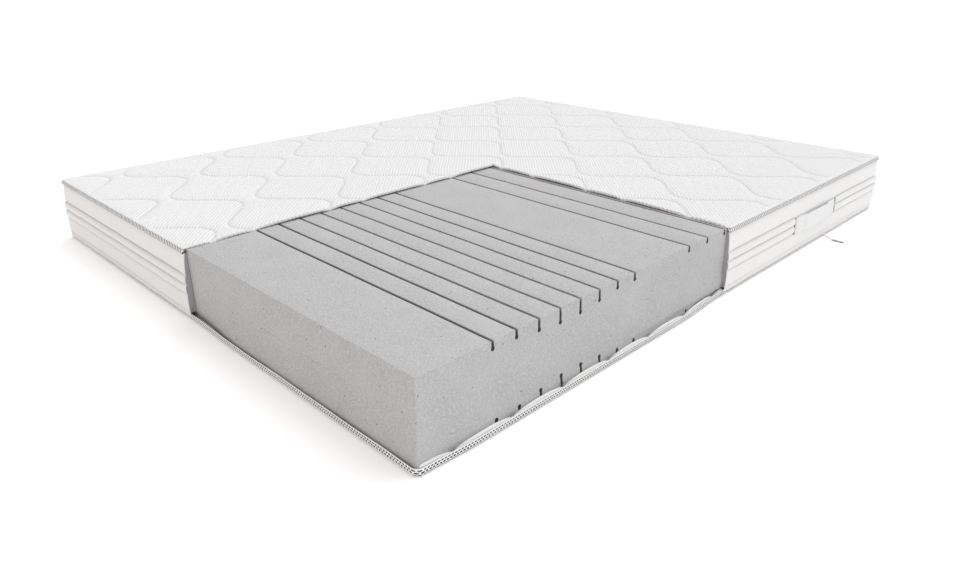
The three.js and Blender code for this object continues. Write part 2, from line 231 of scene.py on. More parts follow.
# ---------------------------------------------------------------- the cover's outline
class Route:
    """Points and outward normals along the cover's outline, anticlockwise from the cut on the right side."""

    def __init__(self, loop, step, stops=(), arc_steps=8, radius=CORNER_RADIUS):
        width, length = HALF_WIDTH, HALF_LENGTH
        inner_x, inner_y = width - radius, length - radius
        self.stops = stops
        points, normals = [], []

        def line(start, end, normal):
            start, end = np.array(start), np.array(end)
            share = self.shares(start, end, step)
            points.append(start + share[:, None] * (end - start))
            normals.append(np.tile(normal, (len(share), 1)))

        def arc(x, y, first):
            angle = math.radians(first) + np.arange(arc_steps) / arc_steps * math.pi / 2
            normal = np.stack([np.cos(angle), np.sin(angle)], axis=1)
            points.append(np.array([x, y]) + radius * normal)
            normals.append(normal)

        line((width, CUT_Y), (width, inner_y), (1, 0))
        arc(inner_x, inner_y, 0)
        line((inner_x, length), (-inner_x, length), (0, 1))
        arc(-inner_x, inner_y, 90)
        line((-width, inner_y), (-width, -inner_y), (-1, 0))
        arc(-inner_x, -inner_y, 180)
        line((-inner_x, -length), (CUT_X, -length), (0, -1))
        if loop:
            line((CUT_X, -length), (inner_x, -length), (0, -1))
            arc(inner_x, -inner_y, 270)
            line((width, -inner_y), (width, CUT_Y), (1, 0))
        else:
            points.append(np.array([[CUT_X, -length]]))
            normals.append(np.array([[0, -1]]))
        self.points = np.concatenate(points)
        self.normals = np.concatenate(normals).astype(float)
        steps = np.linalg.norm(np.diff(self.points, axis=0), axis=1)
        self.along = np.concatenate([[0], np.cumsum(steps)])
        closing = np.linalg.norm(self.points[0] - self.points[-1]) if loop else 0
        self.length = self.along[-1] + closing

    def shares(self, start, end, step):
        """Even shares of a straight stretch, with one at each stop, which is a value of y."""
        span = np.linalg.norm(end - start)
        count = max(1, round(span / step))
        even = np.arange(count) / count
        if start[0] != end[0]:
            return even
        wanted = [(y - start[1]) / (end[1] - start[1]) for y in self.stops]
        wanted = np.array([t for t in wanted if 0 < t < 1])
        if len(wanted) == 0:
            return even
        near = np.abs(even[:, None] - wanted[None, :]).min(axis=1) * span < 0.45 * step
        return np.sort(np.concatenate([even[~near | (even == 0)], wanted]))

    def place(self, offset, height):
        """Points (n, m, 3) at arrays (n or 1, m) of distances outwards and heights."""
        offset = np.broadcast_to(offset, (len(self.points), np.shape(offset)[-1]))
        height = np.broadcast_to(height, offset.shape)
        flat = self.points[:, None, :] + self.normals[:, None, :] * offset[:, :, None]
        return np.concatenate([flat, height[:, :, None]], axis=2)

    def strip(self, outer, inner, heights):
        """Rings round a strip of cloth: up its outer face and down its inner one."""
        return np.concatenate([self.place(outer, heights), self.place(inner, heights)[:, ::-1]], axis=1)


def flare(points):
    """How far the opened zip lets the bottom edge spread outwards, at points on the outline."""
    x, y = points[:, 0], points[:, 1]
    right = (x > HALF_WIDTH - 20 * MM) * bump_between(-y, 0.02, 0.20)
    right = right * (1 - 0.55 * bump_between(-y, 0.86, 1.0))
    foot = (y < -HALF_LENGTH + 20 * MM) * bump_between(x, 0.02, 0.20)
    rest = 1.2 * MM
    return rest + np.maximum(9.4 * MM * right, 4.2 * MM * foot)


# ---------------------------------------------------------------- quilting
def stitch_y(family, number, x):
    mean = family["first_y"] - LINE_SPACING * number
    return mean + LINE_SWING * np.cos(TAU * (x - family["crest_x"]) / LINE_PERIOD)


def stitch_slope(family, x):
    return -LINE_SWING * TAU / LINE_PERIOD * np.sin(TAU * (x - family["crest_x"]) / LINE_PERIOD)


def stitch_distance(x, y):
    """How far a point is from the nearest stitched line."""
    nearest = np.full(np.shape(x), 1.0)
    for family in LINE_FAMILIES:
        slope = stitch_slope(family, x)
        for number in family["numbers"]:
            away = np.abs(y - stitch_y(family, number, x)) / np.sqrt(1 + slope**2)
            nearest = np.minimum(nearest, away)
    return nearest


def quilt_depth(x, y):
    """How far the knit is pulled down, from nearly 0 in the middle of a cell to 1 at a line."""
    away = np.sqrt(stitch_distance(x, y) ** 2 + (0.8 * MM) ** 2)
    return 0.80 * np.exp(-away / (8.5 * MM)) + 0.20 * np.exp(-away / (38 * MM))


def rib_wave(x, y):
    """The knit's diagonal ribs, from -1 to 1."""
    wander = 0.55 * np.sin(TAU * (x - y) / 0.21) + 0.3 * np.sin(TAU * (x - y + 0.4 * x) / 0.083)
    return np.sin(TAU * (x + y) / (RIB_PITCH * math.sqrt(2)) + wander)


def edge_distance(x, y, half_x, half_y):
    return np.minimum(half_x - np.abs(x), half_y - np.abs(y))


def on_cut(x, y):
    """Which points of the panel lie on the cut's edge along Y, and which on its edge along X."""
    on_x = (np.abs(x - CUT_X) < TINY) & (y < CUT_Y + TINY)
    on_y = (np.abs(y - CUT_Y) < TINY) & (x > CUT_X - TINY)
    return on_x, on_y


def cut_distance(x, y):
    """Distance from a point of the panel to the cut's two edges."""
    past_x, past_y = np.maximum(CUT_X - x, 0), np.maximum(y - CUT_Y, 0)
    return np.where(x < CUT_X, np.where(y > CUT_Y, np.hypot(past_x, past_y), past_x), past_y)


def fullness(x, y):
    """The panel's share of its full thickness: thin where it is sewn to the piping."""
    edge = np.maximum(edge_distance(x, y, PANEL_X, PANEL_Y), 0)
    return 0.12 + 0.88 * (1 - np.exp(-edge / (11 * MM)))


def crown(x, y, height):
    return height * (1 - (x / HALF_WIDTH) ** 2) * (1 - (y / HALF_LENGTH) ** 2)


def plateau(x, y):
    """The panel's surface without its quilting."""
    edge = np.maximum(edge_distance(x, y, PANEL_X, PANEL_Y), 0)
    rise = (PANEL_PLATEAU_Z - PANEL_EDGE_Z) * (1 - np.exp(-edge / (15 * MM)))
    free = bump_between(edge, 0, 0.30)
    lift = CUT_LIFT * np.exp(-cut_distance(x, y) / 0.055) * free
    wobble = 0.35 * MM * free * np.sin(TAU * (x / 0.37 + y / 0.61)) * np.sin(TAU * (y / 0.29 - x / 0.83))
    return PANEL_EDGE_Z + rise + crown(x, y, PANEL_CROWN) + lift + wobble


# ---------------------------------------------------------------- materials
def feed(tree, socket, value):
    """Gives an input socket a value, or a link from another node's output."""
    if isinstance(value, bpy.types.NodeSocket):
        tree.links.new(value, socket)
    else:
        socket.default_value = value


def add_node(tree, kind, inputs, **settings):
    """A new node with its settings, and its inputs by name or number."""
    node = tree.nodes.new(kind)
    for key, value in settings.items():
        setattr(node, key, value)
    for key, value in inputs.items():
        feed(tree, node.inputs[key], value)
    return node


class Finish:
    """A procedural material, built node by node on its Principled shader."""

    def __init__(self, name, color, roughness, sheen=0.0, specular=0.25, metallic=0.0):
        self.material = bpy.data.materials.new(name)
        self.material.use_nodes = True
        self.tree = self.material.node_tree
        self.shader = self.tree.nodes["Principled BSDF"]
        self.color = color
        for key, value in {
            "Base Color": (*color, 1), "Roughness": roughness, "Specular IOR Level": specular,
            "Sheen Weight": sheen, "Metallic": metallic,
        }.items():
            self.shader.inputs[key].default_value = value
        self.place = self.node("ShaderNodeTexCoord", {}).outputs["Object"]

    def node(self, kind, inputs, **settings):
        return add_node(self.tree, kind, inputs, **settings)

    def math(self, operation, a, b=0.0, c=0.0):
        return self.node("ShaderNodeMath", {0: a, 1: b, 2: c}, operation=operation).outputs[0]

    def wave(self, direction, period, shift=None):
        """A sine wave over the object's own space, from -1 to 1."""
        direction = Vector(direction).normalized() * (TAU / period)
        dot = self.node("ShaderNodeVectorMath", {0: self.place, 1: direction}, operation="DOT_PRODUCT")
        phase = dot.outputs["Value"]
        if shift is not None:
            phase = self.math("ADD", phase, shift)
        return self.math("SINE", phase)

    def noise(self, size, detail=2.0, roughness=0.5):
        inputs = {"Vector": self.place, "Scale": 1 / size, "Detail": detail, "Roughness": roughness}
        return self.node("ShaderNodeTexNoise", inputs).outputs["Fac"]

    def cells(self, size):
        inputs = {"Vector": self.place, "Scale": 1 / size}
        return self.node("ShaderNodeTexVoronoi", inputs).outputs["Distance"]

    def attribute(self, name):
        return self.node("ShaderNodeAttribute", {}, attribute_name=name).outputs["Fac"]

    def ramp(self, value, low, high):
        """A value's place between low and high, kept from 0 to 1."""
        inputs = {"Value": value, "From Min": low, "From Max": high}
        return self.node("ShaderNodeMapRange", inputs).outputs["Result"]

    def tint(self, value, strength, other):
        """Mixes the base colour towards another by a value from 0 to 1, times a strength."""
        factor = self.math("MULTIPLY", value, strength)
        base = self.shader.inputs["Base Color"]
        before = base.links[0].from_socket if base.is_linked else base.default_value
        inputs = {"Factor": factor, "A": before, "B": (*other, 1)}
        mix = self.node("ShaderNodeMix", inputs, data_type="RGBA")
        feed(self.tree, base, mix.outputs["Result"])

    def shade(self, value, strength, share):
        """Mixes the base colour towards a share of the finish's own colour."""
        self.tint(value, strength, [c * share for c in self.color])

    def bump(self, height, distance, strength):
        normal = self.shader.inputs["Normal"]
        inputs = {"Distance": distance, "Strength": strength, "Height": height}
        if normal.is_linked:
            inputs["Normal"] = normal.links[0].from_socket
        feed(self.tree, normal, self.node("ShaderNodeBump", inputs).outputs["Normal"])


def foam_finish():
    finish = Finish("foam", (0.600, 0.600, 0.606), 0.95, sheen=0.05, specular=0.10)
    fine = finish.noise(1.7 * MM, detail=1, roughness=0.6)
    grain = finish.noise(4.2 * MM, detail=1, roughness=0.6)
    patches = finish.noise(90 * MM, detail=3)
    pore = finish.math("LESS_THAN", finish.cells(16 * MM), 0.10)
    some = finish.ramp(finish.noise(23 * MM, detail=1), 0.50, 0.54)
    finish.shade(finish.ramp(fine, 0.40, 0.62), 0.9, 0.66)
    finish.shade(finish.ramp(grain, 0.42, 0.62), 0.9, 0.74)
    finish.shade(finish.ramp(patches, 0.42, 0.70), 0.35, 0.93)
    finish.shade(pore, some, 0.30)
    # Painted shade: the slots' walls darken with depth inside the cuts.
    finish.shade(finish.attribute("slot_shade"), 0.80, 0.16)
    finish.bump(grain, 0.6 * MM, 0.7)
    finish.bump(fine, 0.4 * MM, 0.7)
    return finish.material


def knit_finish():
    """A thick rib knit: diagonal ribs made of staggered loops."""
    finish = Finish("quilted_knit", (0.978, 0.982, 0.990), 0.9, sheen=0.4, specular=0.12)
    slow = finish.wave((1, -1, 0), 210 * MM / math.sqrt(2))
    quick = finish.wave((1.4, -1, 0), 83 * MM / math.hypot(1.4, 1))
    wander = finish.math("MULTIPLY_ADD", slow, 0.55, finish.math("MULTIPLY", quick, 0.3))
    ribs = finish.wave((1, 1, 0), RIB_PITCH, wander)
    loops = finish.wave((1, -1, 0), LOOP_PITCH, finish.math("MULTIPLY", ribs, 1.3))
    fine = finish.noise(1.6 * MM, detail=2, roughness=0.7)
    # Painted shade in the troughs between the ribs and between the loops along them.
    finish.shade(finish.ramp(ribs, 0.1, -1.0), 0.42, 0.70)
    finish.shade(finish.ramp(loops, 0.0, -1.0), 0.30, 0.72)
    # Painted shade in the quilted valleys along the stitched lines.
    finish.shade(finish.ramp(finish.attribute("valley_shade"), 0.45, 1.0), 0.36, 0.56)
    finish.shade(finish.ramp(fine, 0.45, 0.7), 0.10, 0.86)
    finish.bump(ribs, 0.6 * MM, 0.9)
    finish.bump(loops, 0.6 * MM, 0.9)
    finish.bump(fine, 0.2 * MM, 0.5)
    return finish.material


def border_finish():
    finish = Finish("border_knit", (0.865, 0.860, 0.855), 0.88, sheen=0.25, specular=0.15)
    weave = finish.math("MULTIPLY", finish.wave((0, 0, 1), 2.4 * MM), finish.wave((1, 1, 0), 2.1 * MM))
    cloudy = finish.noise(9 * MM, detail=3)
    finish.shade(finish.ramp(cloudy, 0.45, 0.75), 0.25, 0.93)
    # Painted shade along the sewn grooves and the bottom seam.
    finish.shade(finish.attribute("groove"), 0.45, 0.50)
    finish.bump(weave, 0.22 * MM, 0.7)
    finish.bump(cloudy, 0.5 * MM, 0.35)
    return finish.material


def plain_cloth(name, color, grain, bump, roughness=0.92, sheen=0.15, contrast=0.85):
    """A soft or woven piece: a fine crossed weave with a cloudy unevenness."""
    finish = Finish(name, color, roughness, sheen=sheen, specular=0.15)
    weave = finish.math("MULTIPLY", finish.wave((1, 1, 0.2), grain), finish.wave((1, -1, 1), grain))
    fuzz = finish.noise(3 * grain, detail=3, roughness=0.7)
    finish.shade(finish.ramp(fuzz, 0.42, 0.72), 1.0, contrast)
    finish.bump(weave, bump, 0.6)
    finish.bump(fuzz, bump, 0.7)
    return finish.material


def piping_finish():
    finish = Finish("piping", (0.90, 0.90, 0.89), 0.8, sheen=0.2, specular=0.2)
    # Painted shade: dark lines along the piping's top and bottom, where it meets the panel and the border,
    # and dark furrows between its ridges.
    finish.tint(finish.attribute("edge"), 0.80, (0.13, 0.13, 0.135))
    finish.tint(finish.ramp(finish.attribute("furrow_shade"), 0.45, 0.62), 0.90, (0.07, 0.07, 0.07))
    finish.bump(finish.noise(0.8 * MM, detail=2), 0.2 * MM, 0.6)
    return finish.material


def metal_finish():
    finish = Finish("metal", (0.30, 0.30, 0.32), 0.42, specular=0.5, metallic=0.6)
    wear = finish.noise(1.6 * MM, detail=3, roughness=0.7)
    finish.shade(finish.ramp(wear, 0.5, 0.75), 1.0, 1.35)
    finish.bump(wear, 0.05 * MM, 0.5)
    return finish.material


MATERIALS = {
    "foam": foam_finish(),
    "knit": knit_finish(),
    "border": border_finish(),
    "wadding": plain_cloth("wadding", (0.82, 0.82, 0.80), 2.2 * MM, 0.5 * MM, contrast=0.88),
    "pad": plain_cloth("border_pad", (0.43, 0.42, 0.45), 1.6 * MM, 0.3 * MM, contrast=0.9),
    "lining": plain_cloth("lining", (0.30, 0.29, 0.31), 1.4 * MM, 0.2 * MM),
    "piping": piping_finish(),
    "rim": plain_cloth("bottom_rim", (0.93, 0.93, 0.925), 2.6 * MM, 0.12 * MM, contrast=0.96),
    "mesh": plain_cloth("mesh", (0.97, 0.97, 0.965), 0.8 * MM, 0.12 * MM, contrast=0.96),
    # Near black: painted shade, so the mesh holes and the handle slits look like dark hollows.
    "shade_black_tape": plain_cloth("zip_tape", (0.03, 0.03, 0.032), 0.9 * MM, 0.15 * MM, sheen=0),
    "coil": plain_cloth("zip_coil", (0.78, 0.78, 0.78), 0.5 * MM, 0.05 * MM, roughness=0.45, sheen=0),
    "flap": plain_cloth("zip_flap", (0.82, 0.815, 0.805), 1.5 * MM, 0.12 * MM, contrast=0.95),
    "strap": plain_cloth("strap", (0.84, 0.84, 0.84), 1.3 * MM, 0.15 * MM, contrast=0.95),
    # Mid grey, darker than the white thread: the thread is real, its darkness is painted shade along the
    # stitched lines.
    "thread": plain_cloth("thread", (0.66, 0.66, 0.66), 0.4 * MM, 0.05 * MM),
    "metal": metal_finish(),
}


# ---------------------------------------------------------------- foam core
def slot_places():
    """Middle and depth of every slot: shallow in the middle zone, deepest in the middle of the other two."""
    depths = [20, 20, 28, 34, 34, 28, 20, 20]
    outer = [(first + 60.7 * i, depth) for first in (-813.4, 388.5) for i, depth in enumerate(depths)]
    middle = [(-173.2 + 80.5 * i, 16) for i in range(5)]
    return sorted((y * MM, depth * MM) for y, depth in outer + middle)


def slot_outline(y, depth, half=3.3 * MM, bulb=4.7 * MM, lip=1.1 * MM):
    """One slot from left lip to right lip, as (y, depth below the face): round lips, slit, round bulb."""
    centre = depth - bulb
    opening = math.asin(half / bulb)
    lip_angle = np.linspace(0, math.pi / 2, 4)
    left_lip = [(y - half - lip + lip * math.sin(a), lip - lip * math.cos(a)) for a in lip_angle]
    slit = [(y - half, lip + (centre - bulb * math.cos(opening) - lip) * t) for t in (0.35, 0.75)]
    turn = np.linspace(math.pi - opening, -math.pi + opening, 15)
    around = [(y - bulb * math.sin(a), centre + bulb * math.cos(a)) for a in turn]
    right = [(2 * y - p, d) for p, d in reversed(left_lip + slit)]
    return left_lip + slit + around + right


def even_points(start, end):
    """Points (y, 0) about 30 mm apart, strictly between two values of y."""
    count = max(1, int((end - start) / (30 * MM)))
    return [(start + (end - start) * k / count, 0) for k in range(1, count)]


def foam_section(face_z, side):
    """The slab's outline in (y, z), anticlockwise for the upper slab, with rounded long edges."""
    half = foam_high.y
    edge = 1.6 * MM
    glue = GLUE_Z + side * 0.03 * MM
    corner = np.linspace(0, math.pi / 2, 5)
    face = [(-half + edge - edge * math.cos(a), edge - edge * math.sin(a)) for a in corner]
    previous = -half + edge
    for y, depth in slot_places():
        outline = slot_outline(y, depth)
        face += even_points(previous, outline[0][0]) + outline
        previous = outline[-1][0]
    face += even_points(previous, half - edge)
    face += [(half - edge + edge * math.sin(a), edge - edge * math.cos(a)) for a in corner]
    points = [(y, face_z - side * depth) for y, depth in face]
    right = [(half, face_z + (glue - face_z) * t) for t in (0.5, 0.9)]
    lip = 0.12 * MM
    end = [(half, glue + side * lip), (half - lip, glue), (-half + lip, glue), (-half, glue + side * lip)]
    left = [(-half, face_z + (glue - face_z) * t) for t in (0.9, 0.5)]
    return np.array(points + right + end + left)


def foot_spread(x, y, height):
    """Where the cover is open the core leans outwards towards its foot, against the zip."""
    lean = FOAM_SPREAD * (1 - np.clip(height / foam_high.z, 0, 1))
    lean = lean + FOAM_BULGE * (1 - bump_between(height, 8 * MM, 75 * MM))
    right = bump_between(-y, 0.02, 0.22) * bump_between(x, 0.55, foam_high.x)
    foot = bump_between(x, 0.02, 0.22) * bump_between(-y, 0.90, foam_high.y)
    return lean * right, -lean * foot


def foam_slab(name, node, face_z, side):
    section = foam_section(face_z, side)
    if side < 0:
        section = section[::-1]
    edge, steps = 0.8 * MM, 60
    angle = np.linspace(0, math.pi / 2, 5)
    ends = foam_high.x - edge + edge * np.sin(angle)
    between = np.linspace(-foam_high.x + edge, foam_high.x - edge, steps)[1:-1]
    xs = np.concatenate([-ends[::-1], between, ends])
    rounding = edge * (1 - np.cos(angle))
    inward = np.concatenate([rounding[::-1], np.zeros(steps - 2), rounding])
    y, z = section[:, 0], section[:, 1]
    near_face = bump_between(side * (z - GLUE_Z), 0.02, 0.08)
    rise = crown(xs[:, None], y[None, :], FOAM_CROWN) * near_face * (side > 0)
    top_drop = inward[:, None] * (np.abs(z - face_z) < TINY)[None, :]
    grain = 0.25 * MM * np.sin(TAU * (xs[:, None] / 0.31 + y / 0.47)) * near_face
    height = z[None, :] + rise - side * top_drop + grain * (side > 0)
    across = np.broadcast_to(xs[:, None], height.shape)
    along = np.broadcast_to(y[None, :], height.shape)
    right, foot = foot_spread(across, along, height)
    rings = np.stack([across + right, along + foot, height], axis=2)
    piece = ring_body(name, rings[:, ::-1], False, MATERIALS["foam"], smooth_angle=38)
    # Painted shade inside each slot, darker deeper down; none on the two end rings.
    depth = side * (face_z - z) * (np.abs(y) < foam_high.y - 4 * MM)
    inside = bump_between(depth, 0.6 * MM, 4.5 * MM) * (depth < 36 * MM)
    within = np.ones((len(xs), 1))
    within[[0, -1]] = 0
    store(piece, "slot_shade", inside[::-1][None, :] * within)
    attach(piece, "foam", "bottom_cover", node)


# ---------------------------------------------------------------- top panel
FINE_X, FINE_Y, COARSE = 600, 750, 5


def rounded(x, y, half_x, half_y, radius):
    """Bends a rectangle's square corners into round ones."""
    u = np.clip((np.abs(x) - (half_x - radius)) / radius, 0, 1)
    v = np.clip((np.abs(y) - (half_y - radius)) / radius, 0, 1)
    inside = (u > 0) & (v > 0)
    bent_x = half_x - radius + radius * u * np.sqrt(1 - v**2 / 2)
    bent_y = half_y - radius + radius * v * np.sqrt(1 - u**2 / 2)
    return np.where(inside, np.sign(x) * bent_x, x), np.where(inside, np.sign(y) * bent_y, y)


def panel_grid(cells_x, cells_y, half_x, half_y):
    """Plan points of a grid with lines on the cut, and the quads left when the cut quarter is taken away."""
    xs = np.linspace(-half_x, half_x, cells_x + 1)
    ys = np.linspace(-half_y, half_y, cells_y + 1)
    x, y = np.meshgrid(xs, ys, indexing="ij")
    quads = grid_faces(cells_x + 1, cells_y + 1)
    first = quads[:, 0]
    i, j = first // (cells_y + 1), first % (cells_y + 1)
    kept = (xs[i] < CUT_X - TINY) | (ys[j] > CUT_Y - TINY)
    return x, y, quads[kept]


def panel_top(x, y):
    """Height of the quilted surface."""
    full = fullness(x, y)
    ribs = RIB_HEIGHT * rib_wave(x, y)
    puckers = 0.30 * MM * np.sin(TAU * (x + 0.6 * y) / 0.034) * np.exp(-stitch_distance(x, y) / 0.012)
    sewn = bump_between(edge_distance(x, y, PANEL_X, PANEL_Y), 1 * MM, 16 * MM)
    return plateau(x, y) - full * ((STITCH_DEPTH + 1.2 * MM) * quilt_depth(x, y) * sewn - ribs - puckers)


def boundary_side(i0, j0, i1, j1, rim, width):
    """Rim points strictly between two coarse corners that lie on the panel's boundary, or nothing."""
    count = COARSE
    steps = [(k, count - k) for k in range(1, count)]
    path = [((i0 * b + i1 * a) // count, (j0 * b + j1 * a) // count) for a, b in steps]
    found = [rim.get(i * width + j) for i, j in path]
    return [] if None in found else found


def top_panel_knit():
    radius = CORNER_RADIUS - 4 * MM
    x, y, quads = panel_grid(FINE_X, FINE_Y, PANEL_X, PANEL_Y)
    x, y = x.ravel(), y.ravel()
    top = np.stack([*rounded(x, y, PANEL_X, PANEL_Y, radius), panel_top(x, y)], axis=1)

    # The boundary rolls over and down: freely at the cut, where each rib ends in a rounded tooth.
    edges = open_edges([quads])
    border = np.unique(edges)
    bx, by = x[border], y[border]
    on_x, on_y = on_cut(bx, by)
    out = np.stack([on_x.astype(float), -on_y.astype(float), np.zeros(len(border))], axis=1)
    from_corner = np.maximum(np.abs(bx - CUT_X), np.abs(by - CUT_Y))
    free = bump_between(from_corner, 0, 9 * MM) * (on_x | on_y)
    tooth = 0.5 + 0.5 * rib_wave(bx, by)
    full = fullness(bx, by)
    roll = (2.6 * MM + 3.0 * MM * tooth) * free * full
    deep = 6.2 * MM + 1.6 * MM * (on_x | on_y) * bump_between(full, 0.4, 0.9)
    drop = full * (deep - 0.6 * MM * tooth * free)
    rows = []
    angles = np.radians([24, 48, 72, 96, 125, 155])
    for angle in angles:
        outward = roll * np.sin(angle) ** 0.8
        down = drop * (1 - math.cos(angle)) / (1 - math.cos(angles[-1]))
        point = top[border] + out * outward[:, None]
        point[:, 2] -= down
        rows.append(point)
    start = len(x)
    position = np.full(len(x), -1)
    position[border] = np.arange(len(border))
    walls = []
    upper = edges
    for k in range(len(rows)):
        lower = start + k * len(border) + position[edges]
        walls.append(np.concatenate([upper[:, ::-1], lower], axis=1))
        upper = lower

    # The underside is coarser. Its outer corners are the rim's lowest points.
    cx, cy, coarse = panel_grid(FINE_X // COARSE, FINE_Y // COARSE, PANEL_X, PANEL_Y)
    cx, cy = cx.ravel(), cy.ravel()
    under_z = plateau(cx, cy) - 6.5 * MM * fullness(cx, cy)
    under = np.stack([*rounded(cx, cy, PANEL_X, PANEL_Y, radius), under_z], axis=1)
    under_start = start + len(rows) * len(border)
    last = under_start - len(border)
    rim = {int(v): int(last + position[v]) for v in border}
    width, coarse_width = FINE_Y + 1, FINE_Y // COARSE + 1
    row, column = np.divmod(np.arange(len(under)), coarse_width)
    fine_of = row * COARSE * width + column * COARSE
    index = np.array([rim.get(int(f), under_start + k) for k, f in enumerate(fine_of)])
    touching = np.isin(coarse, np.flatnonzero(index < under_start)).sum(axis=1) >= 2
    faces = [quads, *walls, index[coarse[~touching]][:, ::-1]]
    for quad in coarse[touching]:
        polygon = []
        for k in range(4):
            here, after = quad[k], quad[(k + 1) % 4]
            i0, j0 = divmod(int(here), coarse_width)
            i1, j1 = divmod(int(after), coarse_width)
            polygon.append(int(index[here]))
            if index[here] < under_start and index[after] < under_start:
                polygon += boundary_side(i0 * COARSE, j0 * COARSE, i1 * COARSE, j1 * COARSE, rim, width)
        faces.append(np.array([polygon[::-1]]))
    points = np.concatenate([top, *rows, under])
    # Painted shade for the material: how deep the quilting pulls the knit down.
    valley_shade = np.concatenate([quilt_depth(x, y) * fullness(x, y), np.zeros(len(points) - len(x))])
    points, faces, new = compact(points, faces)
    piece = make_piece("top_panel_knit", points, faces, MATERIALS["knit"], smooth_angle=75)
    store(piece, "valley_shade", valley_shade[new >= 0])
    attach(piece, "knit", "upper_cover", "top_panel_knit")


def panel_layer(name, slot, upper, lower, cut_gap):
    """A plain layer under the knit, between two depths below the panel's surface."""
    half_x, half_y = PANEL_X - 1 * MM, PANEL_Y - 1 * MM
    x, y, quads = panel_grid(120, 150, half_x, half_y)
    x, y = x.ravel(), y.ravel()
    bent_x, bent_y = rounded(x, y, half_x, half_y, CORNER_RADIUS - 5 * MM)
    on_x, on_y = on_cut(x, y)
    plan = [bent_x - cut_gap * on_x, bent_y + cut_gap * on_y]
    faces = [np.stack([*plan, plateau(x, y) - depth * fullness(x, y)], axis=1) for depth in (upper, lower)]
    piece = closed_shell(name, *faces, quads, MATERIALS[slot])
    attach(piece, slot, "upper_cover", name)


def thread_piece(name, height_at, body, inside, bead=0.55 * MM, pitch=4.2 * MM):
    """Small stitches along every quilting line, each a slim lozenge lying in its groove."""
    points, faces = [], []
    count = 0
    for family in LINE_FAMILIES:
        for number in family["numbers"]:
            x = np.arange(-HALF_WIDTH, HALF_WIDTH, pitch * 0.8)
            y = stitch_y(family, number, x)
            steps = np.concatenate([[0], np.cumsum(np.hypot(np.diff(x), np.diff(y)))])
            at = np.arange(0, steps[-1], pitch)
            sx = np.interp(at, steps, x)
            sy = stitch_y(family, number, sx)
            slope = stitch_slope(family, sx)
            along = np.stack([np.ones(len(sx)), slope], axis=1) / np.sqrt(1 + slope**2)[:, None]
            keep = inside(sx, sy)
            sx, sy, along = sx[keep], sy[keep], along[keep]
            if len(sx) == 0:
                continue
            side = np.stack([-along[:, 1], along[:, 0]], axis=1)
            z = height_at(sx, sy)
            half = pitch * 0.40
            shape = [(-half, 0, -0.2), (0, -1, 0), (0, 0, 1), (0, 1, 0), (0, 0, -1), (half, 0, -0.2)]
            block = np.stack([
                np.stack([
                    sx + along[:, 0] * a + side[:, 0] * b * bead,
                    sy + along[:, 1] * a + side[:, 1] * b * bead,
                    z + c * bead,
                ], axis=1)
                for a, b, c in shape
            ], axis=1)
            points.append(block.reshape(-1, 3))
            base = count + 6 * np.arange(len(sx))[:, None]
            for k in range(4):
                after = (k + 1) % 4
                faces += [base + [0, 1 + after, 1 + k], base + [5, 1 + k, 1 + after]]
            count += 6 * len(sx)
    piece = make_piece(name, np.concatenate(points), faces, MATERIALS["thread"], smooth_angle=180)
    attach(piece, "knit", body)


def top_stitches():
    def inside(x, y):
        edge = edge_distance(x, y, HALF_WIDTH - 16 * MM, HALF_LENGTH - 16 * MM) > 0
        return edge & ((x < CUT_X - 4 * MM) | (y > CUT_Y + 4 * MM))

    thread_piece("top_quilting_thread", lambda x, y: panel_top(x, y) + 0.25 * MM, "upper_cover", inside)


# ---------------------------------------------------------------- piping
def piping():
    """A ribbed tape folded over the seam all round: an oval section with slanting ridges."""
    route = Route(False, 0.75 * MM, arc_steps=40)
    sides = 16
    turn = TAU * np.arange(sides) / sides
    lean = math.radians(24)
    ridge_phase = TAU * (route.along[:, None] / PIPING_PITCH + 1.6 * turn[None, :] / math.pi)
    ridge = 0.5 + 0.5 * np.sin(ridge_phase)
    grow = 1 + 0.055 * (ridge - 0.5) * 2
    across = PIPING_WIDE * np.cos(turn)[None, :] * grow
    up = PIPING_TALL * np.sin(turn)[None, :] * (1 + 0.03 * (ridge - 0.5))
    offset = across * math.cos(lean) - up * math.sin(lean)
    height = across * math.sin(lean) + up * math.cos(lean)
    wander = 0.35 * MM * ripple(route.along, 4, 0.19, 0.083, 0.37)[:, None]
    rings = route.place(offset + PIPING_OUT + wander, height + PIPING_Z + wander * 0.6)
    piece = ring_body("top_edge_piping", rings, False, MATERIALS["piping"])
    # Painted shade for the material: the top and bottom of the oval, and the furrows between the ridges.
    edge = np.clip(np.abs(np.sin(turn)) * 3.2 - 2.2, 0, 1) * (np.cos(turn) > -0.5)
    store(piece, "edge", np.broadcast_to(edge[None, :], ridge.shape))
    store(piece, "furrow_shade", 1 - ridge)
    attach(piece, "piping", "upper_cover", "top_edge_piping")


# ---------------------------------------------------------------- side border
GROOVES = (114 * MM, 90.5 * MM, 67 * MM)
BORDER_TOP = 165.5 * MM
BORDER_BOTTOM = 21.0 * MM
HANDLES = {
    "handle_right": {"side": 1},
    "handle_left_head": {"side": -1},
    "handle_left_foot": {"side": -1},
}
for handle_name, handle in HANDLES.items():
    boxes = [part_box(f"{handle_name}_sewn_end_{end}") for end in "ab"]
    handle["low"] = min(low.y for low, _ in boxes)
    handle["high"] = max(high.y for _, high in boxes)
    handle["bottom"], handle["top"] = boxes[0][0].z, boxes[0][1].z
SLIT = 8.0 * MM


